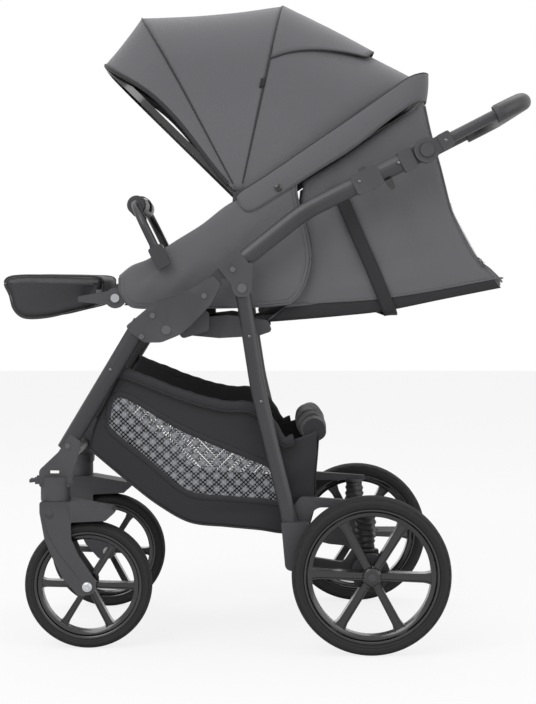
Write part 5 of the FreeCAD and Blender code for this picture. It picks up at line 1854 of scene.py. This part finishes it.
    def make_rear(self) -> None:
        """The rear wall and the padded roll over it, with slack folds in its cloth."""
        path = line(flat(((109, 231), (103, 269), (103, 319), (98, 360), (94, 388)), 0), 20)
        rows = [[Vector((p.x - 0.004 * math.sin(math.pi * i / 19), self.width(p) * (-1 + 2 * j / 24), p.z))
                 for j in range(25)] for i, p in enumerate(path)]
        wall = sheet("basket_rear", rows, "basket_fabric", "front_frame", 1.8)
        cloth(wall, 0.42, 0.165, "hung", ["basket_roll"])
        across = [at(104 + 4 * (1 - (y / 190) ** 2), y, 404 + 3 * ripple(at(0, y, 0), 80)) for y in
                  np.linspace(-196, 196, 90)]
        roll = tube("basket_roll", across, 27.0, "basket_fabric", "front_frame", 27.0, 40,
                    swell=lambda t: (0.62 + 0.38 * math.sin(math.pi * min(max(t, 0.02), 0.98)) ** 0.35)
                    * (1 + 0.03 * math.sin(41 * t) + 0.02 * math.sin(83 * t + 1)))
        for v in roll.data.vertices:
            v.co.x += 0.004 * ripple(v.co, 30.0) - 0.002
            v.co.z += 0.004 * ripple(v.co, 26.0, 0.5)


# ---------------------------------------------------------------- frame and studio


@dataclass
class Frame:
    """The welded tubes, mouldings and fittings that keep their own shape."""

    def dress(self) -> None:
        """Give each its finish."""
        for part in frame["record"]["subparts"]:
            piece = frame["nodes"][part["node"]]
            material = finish(part["material_slot"])
            if piece.material_slots:
                for slot in piece.material_slots:
                    slot.material = material
            else:
                piece.data.materials.append(material)
            LOG.info("%s wears %s", part["node"], part["material_slot"])


@dataclass
class Studio:
    """A pale floor, soft lamps, a white surround and a camera level with the seat."""

    lens: float = 89.64
    place: Point = (-0.0032, 3.4336, 0.6933)
    tilt: float = 0.045
    grey: float = 0.62
    glow: float = 0.82

    def dress(self) -> None:
        """Set it all up."""
        self.make_floor()
        self.make_world()
        self.lamp("key", (1.6, 2.6, 2.9), 2.4, 62.0)
        self.lamp("fill", (-2.4, 1.9, 1.6), 2.6, 26.0)
        self.lamp("top", (0.0, -0.6, 3.2), 2.8, 34.0)
        self.make_camera()

    def make_floor(self) -> None:
        """A wide pale floor that fades into the surround and keeps the shadow."""
        g = Graph("pale_floor")
        tone = g.mix(g.speckle(3.0), (0.78, 0.78, 0.78), (0.8, 0.8, 0.8))
        g.finish(Base_Color=tone, Roughness=0.9)
        plain = g.tree.nodes.new("ShaderNodeEmission")
        g.put(plain.inputs["Color"], (1.0, 1.0, 1.0))
        ray = Signal(g, g.tree.nodes.new("ShaderNodeLightPath").outputs["Is Camera Ray"])
        mixed = g.node("ShaderNodeMixShader", {}, {0: ray * self.glow, 1: Signal(g, g.shader.outputs[0]),
                                                   2: Signal(g, plain.outputs[0])})
        g.tree.links.new(mixed.socket, g.output.inputs["Surface"])
        mesh = bpy.data.meshes.new("studio_floor")
        mesh.from_pydata([(-9, -9, 0), (9, -9, 0), (9, 9, 0), (-9, 9, 0)], [], [(0, 1, 2, 3)])
        mesh.materials.append(g.material)
        floor = bpy.data.objects.new("studio_floor", mesh)
        bpy.context.scene.collection.objects.link(floor)

    def make_world(self) -> None:
        """Even grey light, seen as plain white."""
        world = bpy.data.worlds.new("studio")
        bpy.context.scene.world = world
        world.use_nodes = True
        tree = world.node_tree
        tree.nodes.clear()
        path = tree.nodes.new("ShaderNodeLightPath")
        grey, white = tree.nodes.new("ShaderNodeBackground"), tree.nodes.new("ShaderNodeBackground")
        grey.inputs["Color"].default_value = (1, 1, 1, 1)
        grey.inputs["Strength"].default_value = self.grey
        white.inputs["Color"].default_value = (1, 1, 1, 1)
        seen = path.outputs["Is Camera Ray"]
        for other in ("Is Glossy Ray", "Is Transmission Ray"):
            most = tree.nodes.new("ShaderNodeMath")
            most.operation = "MAXIMUM"
            tree.links.new(seen, most.inputs[0])
            tree.links.new(path.outputs[other], most.inputs[1])
            seen = most.outputs[0]
        mixed, out = tree.nodes.new("ShaderNodeMixShader"), tree.nodes.new("ShaderNodeOutputWorld")
        tree.links.new(seen, mixed.inputs[0])
        tree.links.new(grey.outputs[0], mixed.inputs[1])
        tree.links.new(white.outputs[0], mixed.inputs[2])
        tree.links.new(mixed.outputs[0], out.inputs["Surface"])
        bpy.context.scene.view_settings.view_transform = "Standard"

    def lamp(self, name: str, place: Point, size: float, power: float) -> None:
        """One soft square lamp that faces the seat."""
        light = bpy.data.lights.new(name, "AREA")
        light.size, light.energy = size, power
        lamp = bpy.data.objects.new(name, light)
        bpy.context.scene.collection.objects.link(lamp)
        lamp.location = place
        lamp.rotation_euler = (Vector((0, 0, 0.6)) - Vector(place)).to_track_quat("-Z", "Y").to_euler()

    def make_camera(self) -> None:
        """The camera, square to the side and a little above the seat."""
        data = bpy.data.cameras.new("camera")
        data.lens, data.sensor_width = self.lens, 36.0
        camera = bpy.data.objects.new("camera", data)
        bpy.context.scene.collection.objects.link(camera)
        camera.location = self.place
        camera.rotation_euler = (math.pi / 2 - self.tilt, 0.0, math.pi)
        bpy.context.scene.camera = camera


def main() -> None:
    """Build everything in order."""
    logging.basicConfig(level=logging.INFO)
    Studio().dress()
    Frame().dress()
    parts: list = [Wheel(f"rear_tyre_{s}", f"rear_rim_{s}", f"rear_wheel_{s}", 145.0, 122.0, 46.0, 17.0, 17.0)
                   for s in SIDES]
    parts += [Wheel(f"front_tyre_{s}", f"front_rim_{s}", f"front_wheel_{s}", 117.5, 98.5, 40.0, 15.0, 13.0)
              for s in SIDES]
    parts += [HubCap(f"hub_button_{s}", SIDES[s]) for s in SIDES]
    parts += [kind(s) for s in SIDES for kind in (Fork, CasterTrim, Suspension)]
    parts += [Handle(), Rivets(), Hood(), Band(), Seat(), Backrest(), Footrest(), Bumper(), Basket()]
    for part in parts:
        part.dress()


if __name__ == "__main__":
    main()
